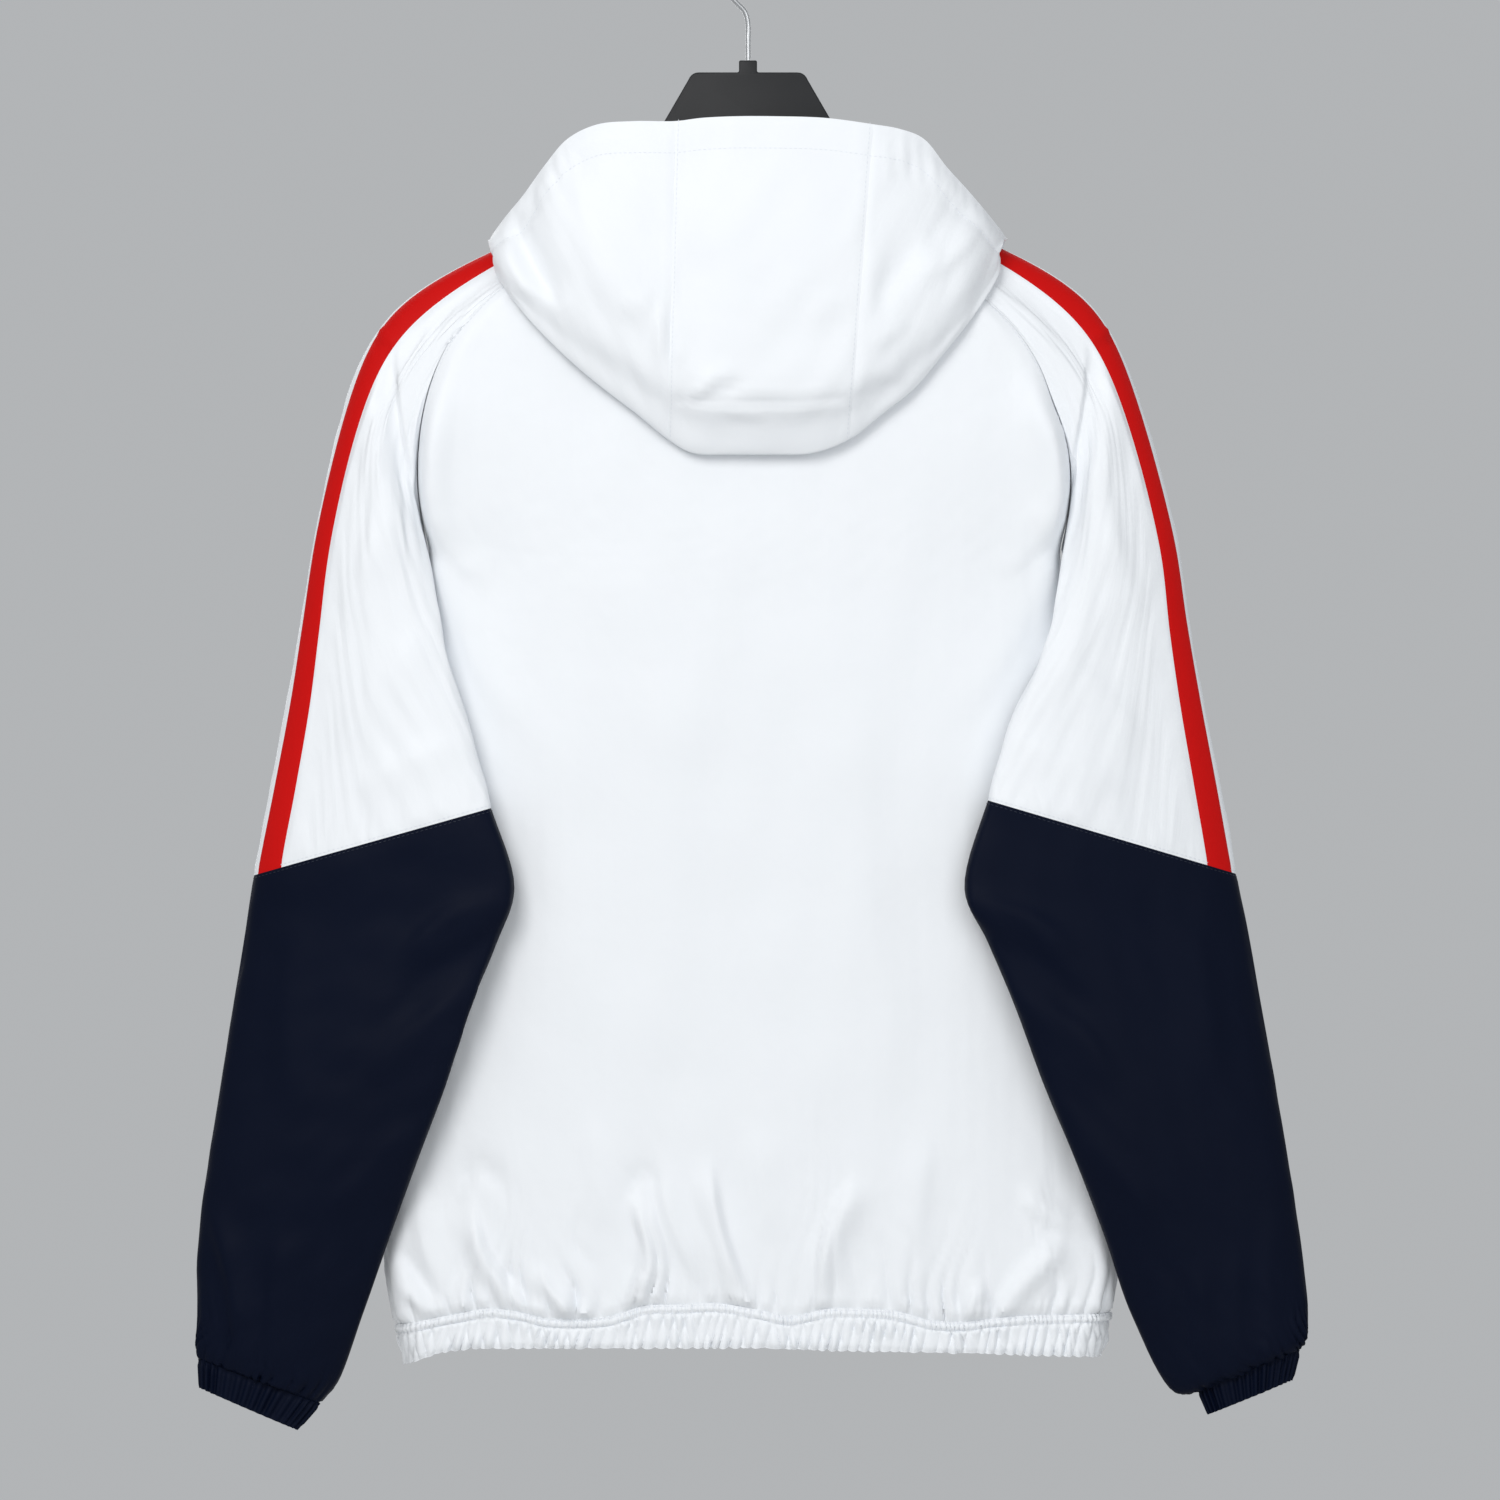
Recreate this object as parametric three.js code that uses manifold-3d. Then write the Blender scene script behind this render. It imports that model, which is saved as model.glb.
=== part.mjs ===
// A hooded windbreaker jacket with raglan sleeves, hung on a plastic hanger.
// Millimetres, +Z up. +Y is the jacket's back, +X the wearer's left.
// The origin is the inside top of the hanger's hook, and a drop is a distance below it.

import * as THREE from 'three';
import { mergeVertices } from 'three/addons/utils/BufferGeometryUtils.js';
import Module from 'manifold-3d';

// Cloth
const clothWall = 1.4;
const seamPull = 0.16;
const colourSeamPull = 0.22;
const bandPull = 0.36;
const sleeveClear = 1.6;
const hoodClear = 4.6;

// Neck, an oval that falls towards the front
const neckHalfWidth = 84;
const neckBackDepth = 38;
const neckFrontDepth = 42;
const neckDrop = 168;
const neckFrontFall = 80;
const neckFallPower = 1.6;
const raglanNeckX = 74;

// Body
const sectionPower = 2.6;
const centreDepthChest = 44;
const centreDepthHem = 47;
const evenShare = 0.6;
const backColumns = 24;
const frontColumns = 10;
const sideRowShares = [0.03, 0.09, 0.17, 0.27, 0.38, 0.5, 0.62, 0.72, 0.81, 0.885, 0.95, 1];
const zipHalf = 5;

// Hem band and cuffs
const hemRows = 2;
const hemWavesBack = 54;
const hemWavesFront = 21;
const cuffWaves = 34;
const cuffRows = 2;
const gatherHeight = 1.3;
const hemNarrowing = 0.03;

// Hanger
const hangerHalfThickness = 3;
const hangerUnderCloth = 5.6;
const armHeight = 21;
const plateTopDrop = 84.5;
const plateTopHalfWidth = 37;
const plateCorner = 5;
const bossTopDrop = 76.7;
const bossHalfWidth = 5.9;
const wireRadius = 1.7;
const hookInnerRadius = 18;
const hookClear = 0.3;

// Zip slider and its pull tab
const sliderDropBelowNeck = 9;
const sliderWidth = 9;
const sliderHeight = 13;
const sliderThickness = 2.2;
const earThickness = 1.2;
const earReach = 3.6;
const pullWidth = 4.4;
const pullLength = 24;
const pullThickness = 1.3;
const pullHeadRadius = 1.7;
const pinRadius = 0.7;
const pinHoleRadius = 1.05;
const runningGap = 0.35;
const earHeight = 4;

// Shape of the sleeve's sections, in degrees round from the underarm edge over the back
const ringPower = 0.85;
const neckEdgeAngle = 128;
const stripeInnerAngle = 140;
const stripeEdgeShoulder = 177;
const stripeEdgeArm = 166;
const stripeTurnsAtRing = 3;
const stripeTurnsOverRings = 4;
const frontEdgeAngle = 200;
const lapAngle = 30;
const lapSpread = 16;

// Folds start at a share of their height, and fade towards the side seams
const foldStart = 0.25;
const foldFade = 1.2;

// Seam between body and sleeve on the back, from the neck to the underarm
const raglanSeam = [
  { leftX: 74, leftDrop: 168, rightX: 74, rightDrop: 168, depth: 18 },
  { leftX: 118, leftDrop: 196, rightX: 115, rightDrop: 200, depth: 27 },
  { leftX: 162, leftDrop: 227, rightX: 155, rightDrop: 234, depth: 31 },
  { leftX: 178, leftDrop: 242, rightX: 174, rightDrop: 253, depth: 32 },
  { leftX: 194, leftDrop: 261, rightX: 189, rightDrop: 276, depth: 32 },
  { leftX: 206, leftDrop: 287, rightX: 199, rightDrop: 302, depth: 31 },
  { leftX: 213, leftDrop: 317, rightX: 207, rightDrop: 324, depth: 28 },
  { leftX: 215, leftDrop: 351, rightX: 210, rightDrop: 350, depth: 21 },
  { leftX: 212, leftDrop: 378, rightX: 208, rightDrop: 376, depth: 12 },
  { leftX: 208, leftDrop: 398, rightX: 204, rightDrop: 396, depth: 0 },
];

// Half widths of the body at the side seams below the underarm
const sideSeam = [
  { drop: 390, left: 208, right: 204 },
  { drop: 450, left: 211, right: 207 },
  { drop: 560, left: 218, right: 216 },
  { drop: 680, left: 227, right: 226 },
  { drop: 800, left: 236, right: 237 },
  { drop: 862, left: 239, right: 243 },
  { drop: 892, left: 231, right: 237 },
  { drop: 930, left: 226, right: 233 },
];

// Top edge of the hem band across the back, from the wearer's left to right
const hemLine = [
  { x: 228, drop: 901 },
  { x: 201, drop: 895 },
  { x: 164, drop: 888 },
  { x: 129, drop: 896 },
  { x: 96, drop: 896 },
  { x: 67, drop: 887 },
  { x: 9, drop: 885 },
  { x: -22, drop: 895 },
  { x: -49, drop: 889 },
  { x: -90, drop: 889 },
  { x: -128, drop: 899 },
  { x: -174, drop: 894 },
  { x: -238, drop: 893 },
];

// The lowest line of the hem band
const hemBottomLine = [
  { x: 222, drop: 926 },
  { x: 200, drop: 918 },
  { x: 180, drop: 915 },
  { x: 0, drop: 914 },
  { x: -60, drop: 916 },
  { x: -150, drop: 918 },
  { x: -231, drop: 921 },
];

// Main folds of the body, as ridges from a top end to a foot at the hem
const backFolds = [
  { topX: 171, topDrop: 815, footX: 140, footDrop: 890, height: 6, width: 13 },
  { topX: 136, topDrop: 852, footX: 112, footDrop: 886, height: 4, width: 11 },
  { topX: 77, topDrop: 812, footX: 70, footDrop: 880, height: 5, width: 12 },
  { topX: 26, topDrop: 800, footX: 1, footDrop: 884, height: 6, width: 13 },
  { topX: -75, topDrop: 800, footX: -45, footDrop: 880, height: 6, width: 13 },
  { topX: -120, topDrop: 835, footX: -112, footDrop: 888, height: 4, width: 12 },
  { topX: -209, topDrop: 846, footX: -164, footDrop: 890, height: 5, width: 13 },
  { topX: 40, topDrop: 430, footX: 55, footDrop: 760, height: 3, width: 30 },
  { topX: -60, topDrop: 470, footX: -90, footDrop: 770, height: 3, width: 32 },
];
const frontFolds = [
  { topX: 150, topDrop: 800, footX: 128, footDrop: 890, height: 5, width: 14 },
  { topX: 60, topDrop: 820, footX: 74, footDrop: 888, height: 5, width: 13 },
  { topX: 185, topDrop: 840, footX: 196, footDrop: 888, height: 4, width: 13 },
  { topX: -52, topDrop: 805, footX: -70, footDrop: 888, height: 5, width: 14 },
  { topX: -160, topDrop: 815, footX: -135, footDrop: 890, height: 5, width: 14 },
  { topX: 95, topDrop: 400, footX: 70, footDrop: 740, height: 3, width: 28 },
  { topX: -100, topDrop: 420, footX: -78, footDrop: 720, height: 3, width: 28 },
];

// Rings of the upper sleeves. Out is the top edge of the arm and in the underarm edge. The depth columns
// are shared by both sides: how far each edge lies towards the back, how far the back and front of the
// sleeve stand off the line between them, what share of the raglan seam's curve the ring keeps, and how
// far the back of the sleeve laps over the body beside its underarm edge.
const upperRings = {
  left: [
    { outX: 84, outDrop: 168, inX: 208, inDrop: 398 },
    { outX: 128, outDrop: 183, inX: 210, inDrop: 402 },
    { outX: 169, outDrop: 201, inX: 211, inDrop: 407 },
    { outX: 205, outDrop: 218, inX: 212, inDrop: 413 },
    { outX: 231, outDrop: 235, inX: 212, inDrop: 419 },
    { outX: 246, outDrop: 254, inX: 212, inDrop: 427 },
    { outX: 257, outDrop: 278, inX: 209, inDrop: 438 },
    { outX: 270, outDrop: 325, inX: 203, inDrop: 455 },
    { outX: 284, outDrop: 391, inX: 192, inDrop: 478 },
    { outX: 292, outDrop: 443, inX: 182, inDrop: 505 },
    { outX: 300, outDrop: 494, inX: 174, inDrop: 534 },
    { outX: 311, outDrop: 552, inX: 169, inDrop: 550 },
    { outX: 322, outDrop: 608, inX: 166, inDrop: 564 },
  ],
  right: [
    { outX: 84, outDrop: 168, inX: 204, inDrop: 396 },
    { outX: 128, outDrop: 182, inX: 206, inDrop: 400 },
    { outX: 168, outDrop: 198, inX: 207, inDrop: 405 },
    { outX: 201, outDrop: 216, inX: 208, inDrop: 411 },
    { outX: 224, outDrop: 231, inX: 208, inDrop: 417 },
    { outX: 238, outDrop: 250, inX: 208, inDrop: 425 },
    { outX: 249, outDrop: 276, inX: 205, inDrop: 436 },
    { outX: 264, outDrop: 325, inX: 199, inDrop: 453 },
    { outX: 280, outDrop: 391, inX: 186, inDrop: 476 },
    { outX: 288, outDrop: 443, inX: 172, inDrop: 502 },
    { outX: 297, outDrop: 494, inX: 163, inDrop: 530 },
    { outX: 308, outDrop: 552, inX: 158, inDrop: 546 },
    { outX: 318, outDrop: 607, inX: 155, inDrop: 559 },
  ],
  depths: [
    { outY: 0, inY: 0, back: 26, front: 26, keep: 1, lap: 0 },
    { outY: 0, inY: 1, back: 26, front: 26, keep: 0.85, lap: 0 },
    { outY: 0, inY: 2, back: 27, front: 25, keep: 0.68, lap: 3 },
    { outY: 0, inY: 3, back: 28, front: 24, keep: 0.5, lap: 6 },
    { outY: 0, inY: 5, back: 23, front: 22, keep: 0.33, lap: 9 },
    { outY: 0, inY: 9, back: 31, front: 20, keep: 0.2, lap: 11 },
    { outY: 1, inY: 15, back: 30, front: 16, keep: 0.1, lap: 10 },
    { outY: 2, inY: 24, back: 27, front: 12, keep: 0.03, lap: 7 },
    { outY: 4, inY: 34, back: 25, front: 10, keep: 0, lap: 3 },
    { outY: 6, inY: 41, back: 24, front: 9, keep: 0, lap: 0 },
    { outY: 7, inY: 46, back: 23, front: 8, keep: 0, lap: 0 },
    { outY: 8, inY: 50, back: 22, front: 8, keep: 0, lap: 0 },
    { outY: 8, inY: 52, back: 22, front: 8, keep: 0, lap: 0 },
  ],
};

// Rings of the lower sleeves, from the colour seam to the top of the cuff
const lowerRings = {
  left: [
    { outX: 322, outDrop: 608, inX: 166, inDrop: 564 },
    { outX: 328, outDrop: 647, inX: 151, inDrop: 616 },
    { outX: 335, outDrop: 690, inX: 163, inDrop: 653 },
    { outX: 342, outDrop: 735, inX: 179, inDrop: 692 },
    { outX: 349, outDrop: 778, inX: 196, inDrop: 745 },
    { outX: 355, outDrop: 820, inX: 213, inDrop: 790 },
    { outX: 359, outDrop: 861, inX: 232, inDrop: 842 },
    { outX: 359, outDrop: 895, inX: 250, inDrop: 893 },
    { outX: 360, outDrop: 914, inX: 267, inDrop: 938 },
    { outX: 358, outDrop: 923, inX: 279, inDrop: 952 },
  ],
  right: [
    { outX: 318, outDrop: 607, inX: 155, inDrop: 559 },
    { outX: 326, outDrop: 645, inX: 140, inDrop: 617 },
    { outX: 334, outDrop: 690, inX: 155, inDrop: 651 },
    { outX: 342, outDrop: 735, inX: 172, inDrop: 691 },
    { outX: 349, outDrop: 778, inX: 192, inDrop: 745 },
    { outX: 356, outDrop: 820, inX: 211, inDrop: 790 },
    { outX: 362, outDrop: 861, inX: 231, inDrop: 842 },
    { outX: 365, outDrop: 891, inX: 250, inDrop: 896 },
    { outX: 364, outDrop: 909, inX: 278, inDrop: 945 },
    { outX: 359, outDrop: 917, inX: 293, inDrop: 943 },
  ],
  depths: [
    { outY: 8, inY: 52, back: 22, front: 8, keep: 0, lap: 0 },
    { outY: 8, inY: 54, back: 21, front: 8, keep: 0, lap: 0 },
    { outY: 8, inY: 54, back: 21, front: 8, keep: 0, lap: 0 },
    { outY: 9, inY: 52, back: 20, front: 8, keep: 0, lap: 0 },
    { outY: 9, inY: 48, back: 20, front: 9, keep: 0, lap: 0 },
    { outY: 9, inY: 42, back: 20, front: 10, keep: 0, lap: 0 },
    { outY: 9, inY: 33, back: 18, front: 12, keep: 0, lap: 0 },
    { outY: 9, inY: 21, back: 17, front: 14, keep: 0, lap: 0 },
    { outY: 9, inY: 14, back: 15, front: 14, keep: 0, lap: 0 },
    { outY: 9, inY: 12, back: 11, front: 11, keep: 0, lap: 0 },
  ],
};

// Lower edges of the cuffs
const cuffEnds = {
  left: { outX: 357, outDrop: 942, inX: 294, inDrop: 969, outY: 9, inY: 12, back: 10, front: 10, lap: 0 },
  right: { outX: 354, outDrop: 937, inX: 300, inDrop: 959, outY: 9, inY: 12, back: 10, front: 10, lap: 0 },
};

// Sections of the hood, round the neck from the wearer's left front to right front. The fold is its lowest
// line, the rim its face edge, and the loft how far its two layers stand apart.
const hoodSections = [
  { angle: -86, foldX: 11, foldDrop: 259, rimX: 14, rimDrop: 264, rimY: 0, loft: 0, side: 'front' },
  { angle: -68, foldX: 43, foldDrop: 255, rimX: 48, rimDrop: 262, rimY: 0, loft: 0, side: 'front' },
  { angle: -48, foldX: 81, foldDrop: 240, rimX: 92, rimDrop: 250, rimY: 0, loft: 0, side: 'front' },
  { angle: -28, foldX: 115, foldDrop: 217, rimX: 132, rimDrop: 228, rimY: 0, loft: 0, side: 'front' },
  { angle: -12, foldX: 140, foldDrop: 199, rimX: 160, rimDrop: 208, rimY: 0, loft: 0, side: 'front' },
  { angle: -5, foldX: 146, foldDrop: 191, rimX: 166, rimDrop: 201, rimY: 0, loft: 0, side: 'front' },
  { angle: 0, foldX: 150, foldDrop: 187, rimX: 169, rimDrop: 195, rimY: 0, loft: 0, side: 'ridge' },
  { angle: 6, foldX: 159, foldDrop: 199, rimX: 169, rimDrop: 196, rimY: 9, loft: 2, side: 'back' },
  { angle: 12, foldX: 165, foldDrop: 212, rimX: 167, rimDrop: 192, rimY: 14, loft: 6, side: 'back' },
  { angle: 20, foldX: 157, foldDrop: 228, rimX: 158, rimDrop: 180, rimY: 24, loft: 9, side: 'back' },
  { angle: 28, foldX: 144, foldDrop: 245, rimX: 146, rimDrop: 166, rimY: 33, loft: 13, side: 'back' },
  { angle: 36, foldX: 128, foldDrop: 262, rimX: 132, rimDrop: 147, rimY: 40, loft: 16, side: 'back' },
  { angle: 44, foldX: 111, foldDrop: 278, rimX: 117, rimDrop: 130, rimY: 46, loft: 18, side: 'back' },
  { angle: 51, foldX: 94, foldDrop: 292, rimX: 98, rimDrop: 121, rimY: 51, loft: 20, side: 'back' },
  { angle: 58, foldX: 73, foldDrop: 308, rimX: 74, rimDrop: 119, rimY: 55, loft: 21, side: 'back' },
  { angle: 66, foldX: 52, foldDrop: 325, rimX: 47, rimDrop: 119, rimY: 56, loft: 22, side: 'back' },
  { angle: 74, foldX: 36, foldDrop: 334, rimX: 30, rimDrop: 117, rimY: 57, loft: 23, side: 'back' },
  { angle: 84, foldX: 12, foldDrop: 335, rimX: 8, rimDrop: 116, rimY: 58, loft: 24, side: 'back' },
  { angle: 95, foldX: -15, foldDrop: 335, rimX: -18, rimDrop: 116, rimY: 58, loft: 24, side: 'back' },
  { angle: 106, foldX: -42, foldDrop: 334, rimX: -50, rimDrop: 117, rimY: 57, loft: 23, side: 'back' },
  { angle: 116, foldX: -66, foldDrop: 325, rimX: -81, rimDrop: 121, rimY: 55, loft: 22, side: 'back' },
  { angle: 124, foldX: -88, foldDrop: 308, rimX: -99, rimDrop: 124, rimY: 51, loft: 20, side: 'back' },
  { angle: 132, foldX: -107, foldDrop: 293, rimX: -114, rimDrop: 130, rimY: 46, loft: 18, side: 'back' },
  { angle: 140, foldX: -125, foldDrop: 272, rimX: -129, rimDrop: 148, rimY: 40, loft: 16, side: 'back' },
  { angle: 148, foldX: -141, foldDrop: 252, rimX: -143, rimDrop: 163, rimY: 33, loft: 13, side: 'back' },
  { angle: 157, foldX: -155, foldDrop: 232, rimX: -157, rimDrop: 179, rimY: 24, loft: 9, side: 'back' },
  { angle: 167, foldX: -164, foldDrop: 213, rimX: -166, rimDrop: 190, rimY: 14, loft: 6, side: 'back' },
  { angle: 174, foldX: -159, foldDrop: 198, rimX: -168, rimDrop: 194, rimY: 9, loft: 2, side: 'back' },
  { angle: 180, foldX: -150, foldDrop: 185, rimX: -168, rimDrop: 193, rimY: 0, loft: 0, side: 'ridge' },
  { angle: 185, foldX: -146, foldDrop: 190, rimX: -166, rimDrop: 200, rimY: 0, loft: 0, side: 'front' },
  { angle: 192, foldX: -140, foldDrop: 199, rimX: -160, rimDrop: 208, rimY: 0, loft: 0, side: 'front' },
  { angle: 208, foldX: -115, foldDrop: 217, rimX: -132, rimDrop: 228, rimY: 0, loft: 0, side: 'front' },
  { angle: 228, foldX: -81, foldDrop: 240, rimX: -92, rimDrop: 250, rimY: 0, loft: 0, side: 'front' },
  { angle: 248, foldX: -43, foldDrop: 255, rimX: -48, rimDrop: 262, rimY: 0, loft: 0, side: 'front' },
  { angle: 266, foldX: -11, foldDrop: 259, rimX: -14, rimDrop: 264, rimY: 0, loft: 0, side: 'front' },
];
const hoodSeamLeft = 15;
const hoodSeamRight = 20;
const hoodSeamGap = 0.5;
const hoodStand = 7;
const hoodCurl = 2.4;
const hoodPuff = 7;
const hoodFoldReach = 7;
const hoodUnderShares = [0.16, 0.34, 0.56, 0.78, 1];
const hoodOuterShares = [0.25, 0.5, 0.75, 1];

// Outline of the hanger: the plate's side under its top corner, the arm's tip from the end of the
// shoulder, and the lower edge
const plateFlare = 2;
const armTaper = 4;
const plateSide = [
  { x: 55.5, drop: 118 },
  { x: 64, drop: 142 },
  { x: 72, drop: 160 },
  { x: 79, drop: 171 },
  { x: 86, drop: 175 },
];
const armTip = [
  { x: -4, drop: 3 },
  { x: -1, drop: 10 },
  { x: -4, drop: 18 },
  { x: -12, drop: 22 },
];
const lowerEdge = [
  { x: 86, drop: 197 },
  { x: 48, drop: 189 },
  { x: 0, drop: 187 },
];

// The wire of the hook turns from one angle to the other, then runs down its stem
const hookStartAngle = 205;
const hookEndAngle = -40;
const hookAngleStep = 17.5;
const hookStem = [
  { x: 8.5, drop: 38 },
  { x: 2, drop: 45 },
  { x: 0, drop: 53 },
  { x: 0, drop: 64 },
  { x: 0, drop: bossTopDrop - hookClear },
];

function point(x, y, drop) {
  return new THREE.Vector3(x, y, -drop);
}

function mix(from, to, share) {
  return from + (to - from) * share;
}

function smooth(share) {
  const t = Math.min(Math.max(share, 0), 1);
  return t * t * (3 - 2 * t);
}

// The value of a column at a place in a table whose rows run up or down in the key column
function lookUp(table, key, column, place) {
  const rising = table[0][key] < table[table.length - 1][key];
  const rows = rising ? table : [...table].reverse();
  const after = rows.findIndex((row) => row[key] > place);
  if (after === 0) return rows[0][column];
  if (after < 0) return rows[rows.length - 1][column];
  const low = rows[after - 1];
  const high = rows[after];
  return mix(low[column], high[column], (place - low[key]) / (high[key] - low[key]));
}

// Shares from 0 to 1 across a panel, closer together at its edges
function spacing(columns) {
  const shares = [];
  for (let j = 0; j <= columns; j += 1) {
    const even = j / columns;
    const round = (1 - Math.cos(Math.PI * even)) / 2;
    shares.push(mix(round, even, evenShare));
  }
  return shares;
}

// How far a section stands off the line between its ends, from 0 at an end to 1 at the middle
function bulge(share) {
  const fromMiddle = Math.min(Math.abs(2 * share - 1), 1);
  return (1 - fromMiddle ** sectionPower) ** (1 / sectionPower);
}

function foldHeight(folds, x, drop) {
  let height = 0;
  for (const fold of folds) {
    const alongX = fold.footX - fold.topX;
    const alongDrop = fold.footDrop - fold.topDrop;
    const length = Math.hypot(alongX, alongDrop);
    const along = ((x - fold.topX) * alongX + (drop - fold.topDrop) * alongDrop) / length ** 2;
    const share = Math.min(Math.max(along, 0), 1);
    const away = Math.hypot(x - fold.topX - share * alongX, drop - fold.topDrop - share * alongDrop);
    const grown = Math.sin((Math.PI / 2) * mix(foldStart, 1, share));
    height += fold.height * grown * Math.exp(-((away / fold.width) ** 2));
  }
  return height;
}

// Neck seam at an angle in degrees, 0 at the wearer's left and 90 at the centre back
function neckPoint(degrees) {
  const turn = THREE.MathUtils.degToRad(degrees);
  const depth = Math.sin(turn) > 0 ? neckBackDepth : neckFrontDepth;
  const frontShare = Math.max(-Math.sin(turn), 0);
  const drop = neckDrop + neckFrontFall * frontShare ** neckFallPower;
  return point(neckHalfWidth * Math.cos(turn), depth * Math.sin(turn), drop);
}

const raglanAngle = THREE.MathUtils.radToDeg(Math.acos(raglanNeckX / neckHalfWidth));

// Points of a raglan seam from neck to underarm. Side is 1 for the wearer's left, face 1 for the back.
function raglanPoints(side, face) {
  const last = raglanSeam.length - 1;
  return raglanSeam.map((row, i) => {
    if (i === 0) return neckPoint(side > 0 ? face * raglanAngle : 180 - face * raglanAngle);
    const fall = face > 0 ? 0 : -neckPoint(-raglanAngle).z - neckDrop;
    const x = side > 0 ? row.leftX : -row.rightX;
    const drop = (side > 0 ? row.leftDrop : row.rightDrop) + fall * (1 - i / last) ** 2;
    return point(x, face * row.depth, drop);
  });
}

function hemDrop(x) {
  return lookUp(hemLine, 'x', 'drop', x);
}

// Points of a side seam below the underarm
function sidePoints(side) {
  const underarm = raglanPoints(side, 1).pop();
  const column = side > 0 ? 'left' : 'right';
  const hemEnd = side > 0 ? hemLine[0] : hemLine[hemLine.length - 1];
  const endX = side * lookUp(sideSeam, 'drop', column, hemEnd.drop);
  const endDrop = hemDrop(endX);
  return sideRowShares.map((share) => {
    const drop = mix(-underarm.z, endDrop, share);
    return point(side * lookUp(sideSeam, 'drop', column, drop), 0, drop);
  });
}

const edges = {};
for (const side of [1, -1]) {
  edges[side] = {
    back: [...raglanPoints(side, 1), ...sidePoints(side)],
    front: [...raglanPoints(side, -1), ...sidePoints(side)],
  };
}
const raglanRows = raglanSeam.length;
const bodyRows = edges[1].back.length;

function centreDepth(row, face) {
  const neckDepth = face > 0 ? neckBackDepth : neckFrontDepth;
  if (row < raglanRows) return mix(neckDepth, centreDepthChest, smooth(row / raglanRows));
  return mix(centreDepthChest, centreDepthHem, hemShare(row));
}

// How far a row has come from the underarm, 0, to the hem, 1
function hemShare(row) {
  return row < raglanRows ? 0 : sideRowShares[row - raglanRows];
}

// A point of the body in a row, at a share of the way from the left edge to the right edge
function bodyPoint(row, share, face) {
  const name = face > 0 ? 'back' : 'front';
  const left = edges[1][name][row];
  const right = edges[-1][name][row];
  const x = mix(left.x, right.x, share);
  if (row === 0) {
    return neckPoint(face * THREE.MathUtils.radToDeg(Math.acos(x / neckHalfWidth)));
  }
  const rise = bulge(share);
  const edgeDrop = mix(-left.z, -right.z, share);
  const centreDrop = face < 0 && row < raglanRows ? frontCentreDrop(row) : edgeDrop;
  const hemShift = hemDrop(x) - mix(hemDrop(left.x), hemDrop(right.x), share);
  const drop = mix(edgeDrop, centreDrop, rise) + hemShift * hemShare(row) ** 2;
  const folds = row === bodyRows - 1 ? 0 : foldHeight(face > 0 ? backFolds : frontFolds, x, drop);
  const edgeDepth = mix(left.y, right.y, share);
  const depth = edgeDepth + face * (centreDepth(row, face) - Math.abs(edgeDepth)) * rise;
  return point(x, depth + face * folds * Math.min(rise * foldFade, 1), drop);
}

// The front's rows spread from the low front neck to the underarm
function frontCentreDrop(row) {
  const underarmDrop = -edges[1].front[raglanRows - 1].z;
  return mix(neckDrop + neckFrontFall, underarmDrop, row / (raglanRows - 1));
}

// Share at which a row of the body crosses a given x
function shareAt(row, x) {
  const left = edges[1].front[row].x;
  const right = edges[-1].front[row].x;
  return (left - x) / (left - right);
}

function backRows() {
  const shares = spacing(backColumns);
  return edges[1].back.map((unused, row) => shares.map((share) => bodyPoint(row, share, 1)));
}

// A front runs from the zip to the side. Both fronts list their points towards the wearer's left.
function frontRows(side) {
  return edges[1].front.map((unused, row) => {
    const toZip = shareAt(row, side * zipHalf);
    const start = side > 0 ? 0 : 1;
    const points = [];
    for (let j = 0; j <= frontColumns; j += 1) {
      const even = j / frontColumns;
      const share = mix(1 - Math.cos((Math.PI / 2) * even), even, evenShare);
      points.push(bodyPoint(row, mix(start, toZip, share), -1));
    }
    return side > 0 ? points.reverse() : points;
  });
}

// Rows of a hem band under the last row of a body panel
function hemBandRows(bodyRow, waves) {
  const first = bodyRow[0].x;
  const last = bodyRow[bodyRow.length - 1].x;
  const rows = [];
  for (let i = 0; i <= hemRows; i += 1) {
    const down = i / hemRows;
    const points = [];
    for (let j = 0; j <= waves * 2; j += 1) {
      const x = mix(first, last, j / (waves * 2));
      const narrow = 1 - hemNarrowing * down;
      const topDrop = -lookUp(bodyRow, 'x', 'z', x);
      const bottomDrop = lookUp(hemBottomLine, 'x', 'drop', x * narrow);
      points.push(point(x * narrow, lookUp(bodyRow, 'x', 'y', x), mix(topDrop, bottomDrop, down)));
    }
    rows.push(points);
  }
  return rows;
}

// Gathers stand up on the outer face only, every second point, and run out at the band's edges
function gathers(rows, edgeRow) {
  return rows.map((points, i) => points.map((unused, j) => (j % 2 === 1 && i !== edgeRow ? gatherHeight : 0)));
}

// Angles of a sleeve's columns, from the underarm edge over the back and the top edge to the front
function ringAngles(ring) {
  const steps = raglanRows - 1;
  const turned = smooth((ring - stripeTurnsAtRing) / stripeTurnsOverRings);
  const stripeEdge = mix(stripeEdgeShoulder, stripeEdgeArm, turned);
  const angles = [];
  for (let j = 0; j <= steps; j += 1) angles.push((neckEdgeAngle * j) / steps);
  angles.push(stripeInnerAngle, (stripeInnerAngle + stripeEdge) / 2, stripeEdge, 180, frontEdgeAngle);
  for (let j = 0; j <= steps; j += 1) angles.push(mix(360 - neckEdgeAngle, 360, j / steps));
  return angles;
}
const stripeFirst = raglanRows;
const stripeLast = raglanRows + 2;
const topEdgeColumn = stripeLast + 1;

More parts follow.
